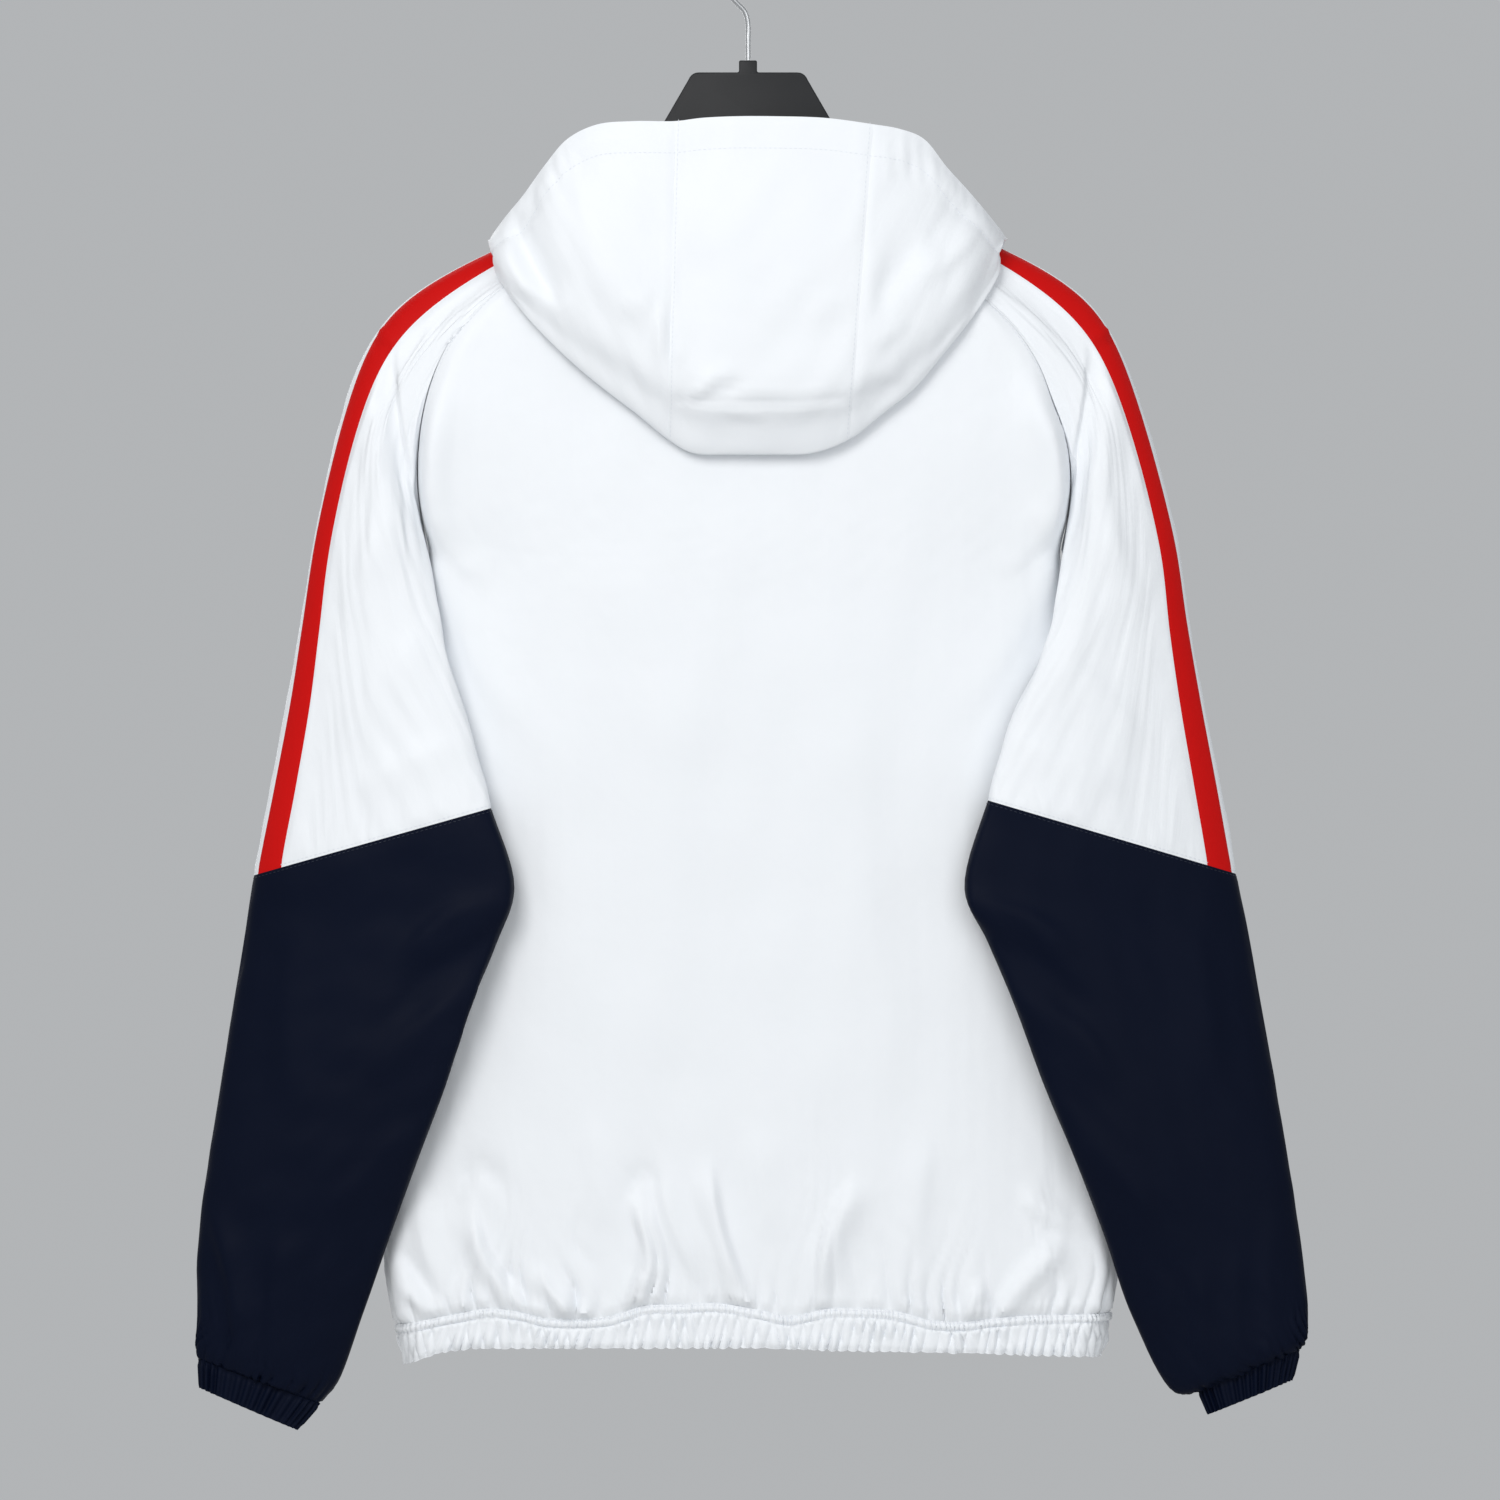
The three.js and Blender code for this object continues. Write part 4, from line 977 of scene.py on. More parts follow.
@dataclass
class Panel:
    """A piece of cloth as a fine grid of its outer face, in millimetres."""

    name: str
    grid: Array
    turn: int
    closed: bool = False
    wall: float = 1.1
    least_area_share: float = 0.31

    def __post_init__(self) -> None:
        """Keeps the plain form, before any relief."""
        self.plain = self.grid.copy()

    def arcs(self) -> tuple[Array, Array]:
        """Lengths along the rows and down the columns of the plain form."""
        across = np.linalg.norm(np.diff(self.plain, axis=1), axis=-1).cumsum(axis=1)
        down = np.linalg.norm(np.diff(self.plain, axis=0), axis=-1).cumsum(axis=0)
        return np.pad(across, ((0, 0), (1, 0))), np.pad(down, ((1, 0), (0, 0)))

    def places(self) -> Places:
        """Where the panel's points are."""
        across, down = self.arcs()
        middle = across - across[:, -1:] / 2
        to_edge = {
            Edge.TOP: down,
            Edge.BOTTOM: down[-1:] - down,
            Edge.FIRST: across,
            Edge.LAST: across[:, -1:] - across,
        }
        return Places(self.plain[..., 0], -self.plain[..., 2], middle, down, to_edge)

    def directions(self, grid: Array) -> Array:
        """The outward directions.

        Args:
            grid: A grid with as many points as the panel's.

        Returns:
            The direction at each of its points.
        """
        if self.closed:
            wide = np.concatenate([grid[:, -2:-1], grid, grid[:, 1:2]], axis=1)
            along = (wide[:, 2:] - wide[:, :-2]) / 2
        else:
            along = np.gradient(grid, axis=1)
        return unit(np.cross(np.gradient(grid, axis=0), along) * self.turn)

    def raise_by(self, relief: Relief) -> "Panel":
        """Moves the points out by a relief and gives the panel back."""
        return self.move_out(relief.height(self.places()))

    def move_out(self, height: Array) -> "Panel":
        """Moves the points out by a height at each and gives the panel back."""
        self.grid = self.grid + self.directions(self.plain) * height[..., None]
        return self

    def flat_size(self, first: int = 0) -> tuple[float, float, float]:
        """The plain form's size, laid flat.

        Args:
            first: The first row that runs straight across the cut.

        Returns:
            Its width, length and area, in metres.
        """
        across, down = self.arcs()
        along, fall = np.diff(self.plain, axis=1)[:-1], np.diff(self.plain, axis=0)[:, :-1]
        area = np.linalg.norm(np.cross(along, fall), axis=-1).sum() * METRES**2
        width, length = across[first:, -1].max() * METRES, down[-1].max() * METRES
        return width, length, min(max(area, self.least_area_share * width * length), width * length)

    def line(self, edge: Edge, inset: float, rows: slice = slice(None)) -> tuple[Array, Array]:
        """A line on the panel beside one of its edges.

        Args:
            edge: The edge that the line keeps to.
            inset: How far it lies from that edge, in millimetres.
            rows: Which stretch of the edge.

        Returns:
            Its points and the outward directions there.
        """
        turned = edge in (Edge.TOP, Edge.BOTTOM)
        grid, out = self.grid, self.directions(self.grid)
        if turned:
            grid, out = grid.transpose(1, 0, 2), out.transpose(1, 0, 2)
        if edge in (Edge.BOTTOM, Edge.LAST):
            grid, out = grid[:, ::-1], out[:, ::-1]
        grid, out = grid[rows], out[rows]
        points, ways = [], []
        for lane, way in zip(grid, out):
            arc = arc_lengths(lane)
            points.append([np.interp(inset, arc, lane[:, k]) for k in range(3)])
            ways.append([np.interp(inset, arc, way[:, k]) for k in range(3)])
        return np.array(points), unit(np.array(ways))

    def mesh(self) -> bpy.types.Mesh:
        """Makes the panel's mesh.

        Returns:
            A closed thin shell with its lengths as its UV map, in metres.
        """
        outer = self.grid
        inner = outer - self.directions(outer) * self.wall
        rows, columns = outer.shape[:2]
        across, down = self.arcs()
        uv = np.stack([across - across[:, -1:] / 2, -down], axis=-1).reshape(-1, 2) * METRES
        if self.closed:
            outer, inner = outer[:, :-1], inner[:, :-1]
        wide = outer.shape[1]
        count = rows * wide
        i, j = np.meshgrid(np.arange(rows - 1), np.arange(columns - 1), indexing="ij")

        def at(row: Any, column: Any) -> Any:
            """Which point is in a row and column."""
            return row * wide + column % wide

        def mapped(row: Any, column: Any) -> Any:
            """Which place on the cloth is in a row and column."""
            return row * columns + column

        corners = [(i, j), (i + 1, j), (i + 1, j + 1), (i, j + 1)]
        face = np.stack([at(r, c).ravel() for r, c in corners], axis=1)
        face_uv = np.stack([mapped(r, c).ravel() for r, c in corners], axis=1)
        if self.turn < 0:
            face, face_uv = face[:, ::-1], face_uv[:, ::-1]
        faces, uvs = [face, face[:, ::-1] + count], [face_uv, face_uv[:, ::-1]]
        right, low = np.arange(columns), np.arange(rows)
        borders = [(0, right), (rows - 1, right[::-1])]
        if not self.closed:
            borders += [(low[::-1], 0), (low, columns - 1)]
        for row, column in borders:
            row, column = np.broadcast_arrays(row, column)
            a, ua = at(row, column)[:-1], mapped(row, column)[:-1]
            b, ub = at(row, column)[1:], mapped(row, column)[1:]
            if self.turn < 0:
                a, b, ua, ub = b, a, ub, ua
            faces.append(np.stack([a, b, b + count, a + count], axis=1))
            uvs.append(np.stack([ua, ub, ub, ua], axis=1))
        points = np.concatenate([outer.reshape(-1, 3), inner.reshape(-1, 3)]) * METRES
        return made_mesh(self.name, points, np.concatenate(faces), uv[np.concatenate(uvs).ravel()])


def made_mesh(name: str, points: Array, faces: Array, uv: Array) -> bpy.types.Mesh:
    """Makes a smooth mesh from points and faces.

    Args:
        name: The mesh's name.
        points: Its points, in metres.
        faces: Its faces, each with as many corners as the next.
        uv: A place on the cloth for each corner of each face.

    Returns:
        The mesh.
    """
    mesh = bpy.data.meshes.new(name)
    mesh.from_pydata(points.tolist(), [], faces.tolist())
    layer = mesh.uv_layers.new(name="cloth")
    layer.data.foreach_set("uv", uv.astype(np.float32).ravel())
    mesh.shade_smooth()
    mesh.set_sharp_from_angle(angle=np.radians(CLOTH_EDGE))
    mesh.validate()
    mesh.update()
    return mesh


class Value:
    """A value in a material, which can be used in sums and products."""

    def __init__(self, shader: "Shader", socket: bpy.types.NodeSocket) -> None:
        """Holds a node's output socket."""
        self.shader, self.socket = shader, socket

    def _math(self, operation: str, *values: Any) -> "Value":
        """A Math node on some values."""
        return self.shader.value("ShaderNodeMath", {"operation": operation}, dict(enumerate(values)))

    def __add__(self, other: Any) -> "Value":
        """The sum."""
        return self._math("ADD", self, other)

    def __mul__(self, other: Any) -> "Value":
        """The product."""
        return self._math("MULTIPLY", self, other)

    def sine(self) -> "Value":
        """The sine."""
        return self._math("SINE", self)


class Shader:
    """A material's nodes."""

    def __init__(self, name: str) -> None:
        """Starts a material with one main shader.

        Args:
            name: The material's name.
        """
        self.material = bpy.data.materials.new(name)
        self.material.use_nodes = True
        self.tree = self.material.node_tree
        self.main = self.tree.nodes["Principled BSDF"]

    def node(self, kind: str, settings: dict[str, Any], values: dict[Any, Any]) -> bpy.types.Node:
        """Adds a node.

        Args:
            kind: The node's type.
            settings: Its settings, which are set first.
            values: Values or links of its sockets, by name or place.

        Returns:
            The node.
        """
        made = self.tree.nodes.new(kind)
        for name, setting in settings.items():
            setattr(made, name, setting)
        for name, value in values.items():
            self.put(made.inputs[name], value)
        return made

    def put(self, socket: bpy.types.NodeSocket, value: Any) -> None:
        """Links or sets a socket."""
        if isinstance(value, Value):
            self.tree.links.new(value.socket, socket)
        else:
            socket.default_value = value

    def value(self, kind: str, settings: dict[str, Any], values: dict[Any, Any], output: Any = 0) -> Value:
        """Adds a node and gives one of its outputs."""
        return Value(self, self.node(kind, settings, values).outputs[output])

    def noise(self, place: Value, scale: float, detail: float = 2.0, roughness: float = 0.5) -> Value:
        """A noise from 0 to 1."""
        values = {"Vector": place, "Scale": scale, "Detail": detail, "Roughness": roughness}
        return self.value("ShaderNodeTexNoise", {"noise_dimensions": "3D"}, values, "Fac")

    def blend(self, share: Any, low: Any, high: Any) -> Value:
        """A mix of two colours."""
        return self.value("ShaderNodeMix", {"data_type": "RGBA"}, {0: share, 6: low, 7: high}, 2)

    def stretched(self, place: Value, scale: tuple[float, float, float]) -> Value:
        """Places stretched along their axes."""
        return self.value("ShaderNodeMapping", {}, {"Vector": place, "Scale": scale})

    def bump(self, height: Value, distance: float, strength: float = 1.0,
             under: Value | None = None) -> Value:
        """A bump.

        Args:
            height: Its height, in steps of the distance.
            distance: The depth that a height of 1 stands for, in metres.
            strength: How much of it shows.
            under: The bump that it lies over.

        Returns:
            The direction that the bumps give the surface.
        """
        values: dict[str, Any] = {"Height": height, "Distance": distance, "Strength": strength}
        if under is not None:
            values["Normal"] = under
        return self.value("ShaderNodeBump", {}, values)

    def finish(self, **sockets: Any) -> bpy.types.Material:
        """Sets the main shader's sockets and gives the material."""
        for name, value in sockets.items():
            self.put(self.main.inputs[name.replace("_", " ")], value)
        return self.material


def shade(colour: Sequence[float], factor: float) -> tuple[float, float, float, float]:
    """A linear colour made darker or lighter, with its alpha."""
    return (*(min(part * factor, 1.0) for part in colour[:3]), 1.0)


@dataclass(frozen=True)
class ClothFinish:
    """A fine plain-woven shell cloth."""

    name: str
    colour: tuple[float, float, float]
    roughness: float = 0.52
    sheen: float = 0.12
    specular: float = 0.5
    thread: float = 0.0005
    crinkle: float = 0.00022
    uneven: float = 0.05
    slow_scale: float = 7.0
    fine_scale: float = 260.0
    soft_scale: float = 24.0
    crumple_scale: float = 75.0

    def material(self) -> bpy.types.Material:
        """Makes the material.

        Returns:
            The weave, a fine crinkle and a slow unevenness of the dye, on the cloth's own lengths.
        """
        s = Shader(self.name)
        cloth = s.value("ShaderNodeUVMap", {"uv_map": "cloth"}, {}, "UV")
        parts = s.node("ShaderNodeSeparateXYZ", {}, {"Vector": cloth}).outputs
        turns = 2 * np.pi / (2 * self.thread)
        warp = (Value(s, parts["X"]) * turns).sine()
        weft = (Value(s, parts["Y"]) * turns).sine()
        weave = warp * weft * 0.5 + 0.5
        slow = s.noise(cloth, self.slow_scale, 3.0)
        fine = s.noise(cloth, self.fine_scale, 2.0)
        light = slow * 0.6 + fine * 0.25 + weave * 0.15
        dyed = s.blend(light, shade(self.colour, 1 - self.uneven), shade(self.colour, 1 + self.uneven))
        crumpled = s.noise(s.stretched(cloth, (1.0, 0.75, 1.0)), self.crumple_scale, 4.0, 0.55)
        soft = s.noise(cloth, self.soft_scale, 3.0, 0.5)
        lying = s.bump(soft * 3.0 + crumpled, self.crinkle)
        woven = s.bump(weave, self.thread * 0.12, 0.5, lying)
        return s.finish(
            Base_Color=dyed,
            Roughness=slow * 0.1 + (self.roughness - 0.05),
            Normal=woven,
            Sheen_Weight=self.sheen,
            Sheen_Roughness=0.45,
            Specular_IOR_Level=self.specular,
        )


@dataclass(frozen=True)
class PlainFinish:
    """Moulded plastic, plated metal or thread."""

    name: str
    colour: tuple[float, float, float]
    roughness: float = 0.4
    metallic: float = 0.0
    grain: float = 900.0
    depth: float = 0.00005
    worn: float = 0.12
    wear_scale: float = 24.0
    specular: float = 0.5

    def material(self) -> bpy.types.Material:
        """Makes the material.

        Returns:
            A fine grain with slow wear in its colour and gloss.
        """
        s = Shader(self.name)
        place = s.value("ShaderNodeTexCoord", {}, {}, "Object")
        grain = s.noise(place, self.grain, 2.0)
        wear = s.noise(place, self.wear_scale, 4.0)
        dark, light = shade(self.colour, 1 - self.worn), shade(self.colour, 1 + self.worn)
        tint = s.blend(wear * 0.7 + grain * 0.3, dark, light)
        return s.finish(
            Base_Color=tint,
            Roughness=wear * 0.16 + (self.roughness - 0.08),
            Metallic=self.metallic,
            Specular_IOR_Level=self.specular,
            Normal=s.bump(grain, self.depth),
        )


@dataclass
class Finishes:
    """The materials of the jacket and its hanger."""

    white: bpy.types.Material
    red: bpy.types.Material
    navy: bpy.types.Material
    tape: bpy.types.Material
    white_thread: bpy.types.Material
    navy_thread: bpy.types.Material
    teeth: bpy.types.Material
    metal: bpy.types.Material
    plastic: bpy.types.Material
    wire: bpy.types.Material

    @classmethod
    def made(cls) -> "Finishes":
        """Makes every finish."""
        kinds = {
            "white": ClothFinish("white_cloth", (0.83, 0.855, 0.885), 0.55, 0.08, 0.4, uneven=0.015),
            "red": ClothFinish("red_cloth", (0.56, 0.0045, 0.004), 0.6, 0.0, 0.08, uneven=0.06),
            "navy": ClothFinish("navy_cloth", (0.0011, 0.0034, 0.0135), 0.58, 0.0, 0.08, uneven=0.15),
            "tape": ClothFinish("zip_tape", (0.72, 0.75, 0.8), 0.65, 0.1, thread=0.0008, uneven=0.04),
            "white_thread": PlainFinish("white_thread", (0.74, 0.77, 0.82), 0.6, grain=3000.0),
            "navy_thread": PlainFinish("navy_thread", (0.008, 0.014, 0.032), 0.5, grain=3000.0),
            "teeth": PlainFinish("zip_teeth", (0.7, 0.73, 0.77), 0.35),
            "metal": PlainFinish("zip_metal", (0.55, 0.56, 0.58), 0.3, 1.0, grain=400.0, depth=0.00002),
            "plastic": PlainFinish("hanger_plastic", (0.01, 0.0108, 0.0125), 0.56, grain=1400.0,
                                   depth=0.00006, specular=0.36),
            "wire": PlainFinish("hook_wire", (0.55, 0.56, 0.57), 0.26, 1.0, grain=500.0, depth=0.00002),
        }
        return cls(**{name: finish.material() for name, finish in kinds.items()})


class Unit(Enum):
    """What is repeated along a line."""

    STITCH = "stitch"
    TOOTH = "tooth"


@dataclass(frozen=True)
class Repeat:
    """How a unit is repeated: its pitch, and its length, width and height, in millimetres."""

    unit: Unit
    pitch: float
    size: tuple[float, float, float]


SEAM_STITCHES = Repeat(Unit.STITCH, 3.2, (2.3, 0.42, 0.34))
BAND_STITCHES = Repeat(Unit.STITCH, 3.0, (2.2, 0.42, 0.34))
ZIP_TEETH = Repeat(Unit.TOOTH, 2.6, (1.5, 2.7, 1.5))


class Runs:
    """Stitches and zip teeth, repeated along lines by Geometry Nodes."""

    lift = 0.1

    def __init__(self) -> None:
        """Builds a tree for each kind of unit."""
        self.trees = {unit: self._tree(unit) for unit in Unit}

    @staticmethod
    def _tree(unit: Unit) -> bpy.types.NodeTree:
        """Builds the tree that repeats a unit along the edges of a mesh.

        Args:
            unit: What is repeated.

        Returns:
            The tree, whose inputs are the pitch, the unit's size and its material.
        """
        tree = bpy.data.node_groups.new(f"{unit.value}_run", "GeometryNodeTree")
        inputs = {"Geometry": "Geometry", "Pitch": "Float", "Unit Size": "Vector", "Finish": "Material"}
        for name, kind in inputs.items():
            tree.interface.new_socket(name, in_out="INPUT", socket_type=f"NodeSocket{kind}")
        tree.interface.new_socket("Geometry", in_out="OUTPUT", socket_type="NodeSocketGeometry")
        add = tree.nodes.new
        link = tree.links.new
        start, end = add("NodeGroupInput"), add("NodeGroupOutput")
        curve = add("GeometryNodeMeshToCurve")
        link(start.outputs["Geometry"], curve.inputs["Mesh"])
        spaced = add("GeometryNodeResampleCurve")
        spaced.mode = "LENGTH"
        link(curve.outputs["Curve"], spaced.inputs["Curve"])
        link(start.outputs["Pitch"], spaced.inputs["Length"])
        if unit is Unit.STITCH:
            shape = add("GeometryNodeMeshIcoSphere")
            shape.inputs["Radius"].default_value = 0.5
            shape.inputs["Subdivisions"].default_value = 1
        else:
            shape = add("GeometryNodeMeshCube")
        facing = add("GeometryNodeInputNamedAttribute")
        facing.data_type = "FLOAT_VECTOR"
        facing.inputs["Name"].default_value = "facing"
        ahead = add("FunctionNodeAlignRotationToVector")
        ahead.axis = "X"
        link(add("GeometryNodeInputTangent").outputs["Tangent"], ahead.inputs["Vector"])
        upright = add("FunctionNodeAlignRotationToVector")
        upright.axis, upright.pivot_axis = "Z", "X"
        link(ahead.outputs["Rotation"], upright.inputs["Rotation"])
        link(facing.outputs["Attribute"], upright.inputs["Vector"])
        repeat = add("GeometryNodeInstanceOnPoints")
        link(spaced.outputs["Curve"], repeat.inputs["Points"])
        link(shape.outputs["Mesh"], repeat.inputs["Instance"])
        link(upright.outputs["Rotation"], repeat.inputs["Rotation"])
        link(start.outputs["Unit Size"], repeat.inputs["Scale"])
        real = add("GeometryNodeRealizeInstances")
        link(repeat.outputs["Instances"], real.inputs["Geometry"])
        dressed = add("GeometryNodeSetMaterial")
        link(real.outputs["Geometry"], dressed.inputs["Geometry"])
        link(start.outputs["Finish"], dressed.inputs["Material"])
        link(dressed.outputs["Geometry"], end.inputs["Geometry"])
        return tree

    def make(self, name: str, lines: Sequence[tuple[Array, Array]], repeat: Repeat,
             finish: bpy.types.Material, slot: str) -> None:
        """Repeats a unit along lines as one piece of plain mesh.

        Args:
            name: The piece's name.
            lines: Each line's points and outward directions, in millimetres.
            repeat: What is repeated, and how.
            finish: Its material.
            slot: Not used.
        """
        points, edges, ways, count = [], [], [], 0
        for places, out in lines:
            points.append((places + out * self.lift) * METRES)
            ways.append(out)
            edges += [(count + k, count + k + 1) for k in range(len(places) - 1)]
            count += len(places)
        mesh = bpy.data.meshes.new(name)
        mesh.from_pydata(np.concatenate(points).tolist(), edges, [])
        facing = mesh.attributes.new("facing", "FLOAT_VECTOR", "POINT")
        facing.data.foreach_set("vector", np.concatenate(ways).astype(np.float32).ravel())
        guide = bpy.data.objects.new(f"{name}_guide", mesh)
        bpy.context.scene.collection.objects.link(guide)
        modifier = guide.modifiers.new("run", "NODES")
        tree = modifier.node_group = self.trees[repeat.unit]
        inputs = {item.name: item.identifier for item in tree.interface.items_tree if item.in_out == "INPUT"}
        modifier[inputs["Pitch"]] = repeat.pitch * METRES
        modifier[inputs["Unit Size"]] = tuple(part * METRES for part in repeat.size)
        modifier[inputs["Finish"]] = finish
        shown = guide.evaluated_get(bpy.context.evaluated_depsgraph_get())
        result = bpy.data.meshes.new_from_object(shown)
        result.name = name
        if "facing" in result.attributes:
            result.attributes.remove(result.attributes["facing"])
        bpy.data.objects.remove(guide)
        add_piece(name, result, finish)


def add_piece(name: str, mesh: bpy.types.Mesh, finish: bpy.types.Material,
              nodes: Sequence[str] = (), body: str = JACKET_BODY) -> bpy.types.Object:
    """Adds a piece to the scene.

    Args:
        name: The piece's name.
        mesh: Its mesh, in place.
        finish: Its material.
        nodes: The solids that it stands for.
        body: The body that it rides on.

    Returns:
        The piece.
    """
    piece = bpy.data.objects.new(f"{name}_cloth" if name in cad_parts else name, mesh)
    bpy.context.scene.collection.objects.link(piece)
    mesh.materials.clear()
    mesh.materials.append(finish)
    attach(piece, body)
    if nodes:
        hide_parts(*nodes)
    log.info("%s: %d faces", piece.name, len(piece.data.polygons))
    return piece


@dataclass
class Body:
    """The back, the fronts, the hem band and the zip."""

    cut: BodyCut
    runs: Runs
    finishes: Finishes
    row_steps: int = 6
    column_steps: int = 15
    front_column_steps: int = 14
    wave_steps: int = 11
    hem_pitch: float = 7.3
    hem_rows: int = 20
    hem_narrowing: float = 0.03
    gather_height: float = 1.7
    scallop: float = 0.45
    cut_fullness: float = 1.35
    header: float = 6.0
    header_pitch: float = 3.7
    header_height: float = 1.15
    groove_depth: float = 0.9
    groove_width: float = 0.9
    top_groove: float = 0.6
    band_lean: float = 0.28
    band_roll: float = 1.2
    band_wall: float = 1.4
    stitch_inset: float = 2.0
    second_inset: float = 7.5
    raglan_inset: float = 2.2
    meeting_gap: float = 0.15
    tape_inset: float = 0.25
    tooth_inset: float = 1.05
    side_fill: Table = field(default_factory=lambda: table(
        "height drop length inset",
        (13.0, 368.0, 70.0, 9.0),
        (9.0, 885.0, 56.0, 14.0),
    ))
    relax_passes: int = 90
    relax_reach: float = 45.0

    back_creases: Table = field(default_factory=lambda: table(
        "x1 y1 x2 y2 bend height steep soft start end",
        (470, 1196, 540, 1312, 0.14, 7, 9, 4, 0.1, 0.35),
        (452, 1200, 508, 1198, -0.5, -3.2, 3, 9, 0.2, 0.2),
        (626, 1200, 668, 1196, -0.5, -2.6, 3, 8, 0.2, 0.2),
        (500, 1262, 534, 1306, 0.05, -3.5, 5, 4, 0.1, 0.35),
        (536, 1262, 584, 1312, 0.12, 6, 7, 3.5, 0.1, 0.35),
        (628, 1192, 636, 1298, -0.14, 6.5, 4, 12, 0, 0.35),
        (650, 1270, 628, 1306, 0.1, 4, 3, 6, 0.2, 0.35),
        (655, 1150, 706, 1290, 0.05, 4.5, 5, 12, 0, 0.3),
        (708, 1150, 750, 1306, 0.06, 7, 12, 4, 0, 0.35),
        (866, 1172, 816, 1298, 0.08, 7, 5, 12, 0, 0.35),
        (1072, 1236, 998, 1316, 0.06, 6.5, 5, 10, 0, 0.35),
        (986, 1280, 960, 1322, 0.04, 4.5, 4, 7, 0.2, 0.35),
        (1014, 1190, 1076, 1228, 0.08, 4.5, 4, 10, 0, 0.4),
        (395, 1240, 432, 1290, 0.05, -3, 3, 6, 0.2, 0.4),
        (402, 1282, 446, 1318, 0.08, 4.5, 4, 6, 0.2, 0.35),
        (690, 560, 660, 1140, 0.02, 2.6, 22, 30, 0, 0),
        (842, 590, 900, 1120, 0.02, 2.6, 30, 20, 0, 0),
        (560, 620, 540, 1100, -0.03, 2.2, 20, 26, 0, 0),
        (975, 640, 985, 1080, 0.03, 2.0, 24, 20, 0, 0),
        (440, 560, 560, 760, 0.08, 2.4, 9, 20, 0.4, 0),
        (1050, 540, 930, 740, -0.08, 2.4, 20, 9, 0.4, 0),
        (430, 500, 500, 590, 0.1, 2.2, 7, 14, 0.6, 0),
        (1060, 490, 990, 580, -0.1, 2.2, 14, 7, 0.6, 0),
        (760, 1120, 780, 1250, 0.05, 2.2, 9, 14, 0, 0),
        (585, 1110, 600, 1240, -0.05, 2.0, 9, 14, 0, 0),
        (930, 1130, 915, 1270, 0.04, 2.4, 12, 8, 0, 0.3),
        (420, 1180, 455, 1310, 0.08, 3.0, 7, 12, 0, 0.7),
    ))
    front_creases: Table = field(default_factory=lambda: table(
        "x1 y1 x2 y2 bend height steep soft start end",
        (520, 1180, 552, 1308, 0.08, 6.5, 5, 12, 0, 0.35),
        (655, 1196, 632, 1304, 0.06, 6, 11, 5, 0, 0.35),
        (600, 1260, 592, 1306, 0.0, 4, 4, 7, 0.1, 0.35),
        (458, 1236, 444, 1306, 0.06, 5, 5, 9, 0, 0.35),
        (826, 1176, 858, 1304, 0.07, 6.5, 12, 5, 0, 0.35),
        (905, 1250, 900, 1306, 0.0, 4.5, 5, 8, 0.1, 0.35),
        (998, 1186, 952, 1308, 0.06, 6.5, 5, 12, 0, 0.35),
        (1066, 1226, 1038, 1306, 0.05, 5, 9, 5, 0, 0.35),
        (600, 560, 640, 1080, 0.03, 2.6, 20, 28, 0, 0),
        (900, 590, 868, 1050, 0.03, 2.6, 28, 20, 0, 0),
        (450, 560, 600, 720, 0.08, 2.4, 9, 18, 0.4, 0),
        (1045, 550, 900, 720, -0.08, 2.4, 18, 9, 0.4, 0),
    ))

    def build(self) -> None:
        """Makes every piece of the body."""
        back = self._back()
        self._dress(back)
        self._band("hem_back", back, 31)
        lines = []
        for side in Side:
            front = self._front(side)
            self._dress(front)
            hem = self._band(f"hem_front_{side.word}", front, 40 + side.value)
            self._zip_half(side, front, hem)
            inner, outer = (Edge.FIRST, Edge.LAST) if side is Side.LEFT else (Edge.LAST, Edge.FIRST)
            lines += [front.line(inner, self.stitch_inset), front.line(inner, self.second_inset)]
            seam = slice(0, (self.cut.seam_rows - 1) * self.row_steps + 1)
            lines += [front.line(outer, self.raglan_inset, seam), back.line(inner, self.raglan_inset, seam)]
        self.runs.make("body_stitches", lines, SEAM_STITCHES, self.finishes.white_thread, "white_cloth")

    def _dress(self, panel: Panel) -> None:
        """Adds a panel that hangs from the hanger.

        Args:
            panel: The panel.
        """
        piece = add_piece(panel.name, panel.mesh(), self.finishes.white, [panel.name])
        width, length, area = panel.flat_size()

    def _back(self) -> Panel:
        """The back panel with its folds."""
        grid = eased_grid(self.cut.back_grid(), self.row_steps, self.column_steps)
        even = relaxed(grid, self.relax_passes, self.relax_reach)
        panel = Panel("back_panel", filled_out(even, self.side_fill), 1)
        return panel.raise_by(Relief(
            creases=[Creases(self.back_creases)],
            ripples=[
                Ripples(height=0.9, length=120.0, seed=3, stretch=2.2),
                Ripples(height=0.35, length=38.0, seed=4, stretch=1.6),
                Ripples(height=0.1, length=14.0, seed=5),
            ],
            gathers=[
                Gathers(Edge.BOTTOM, pitch=5.6, height=1.3, reach=7.0, seed=6, start=0.8),
                Gathers(Edge.BOTTOM, pitch=15.0, height=2.6, reach=24.0, seed=16, start=2.5),
                Gathers(Edge.FIRST, pitch=10.0, height=0.3, reach=8.0, seed=7),
                Gathers(Edge.LAST, pitch=10.0, height=0.3, reach=8.0, seed=8),
            ],
            held={Edge.TOP: 12.0, Edge.BOTTOM: 5.0, Edge.FIRST: 12.0, Edge.LAST: 12.0},
        ))

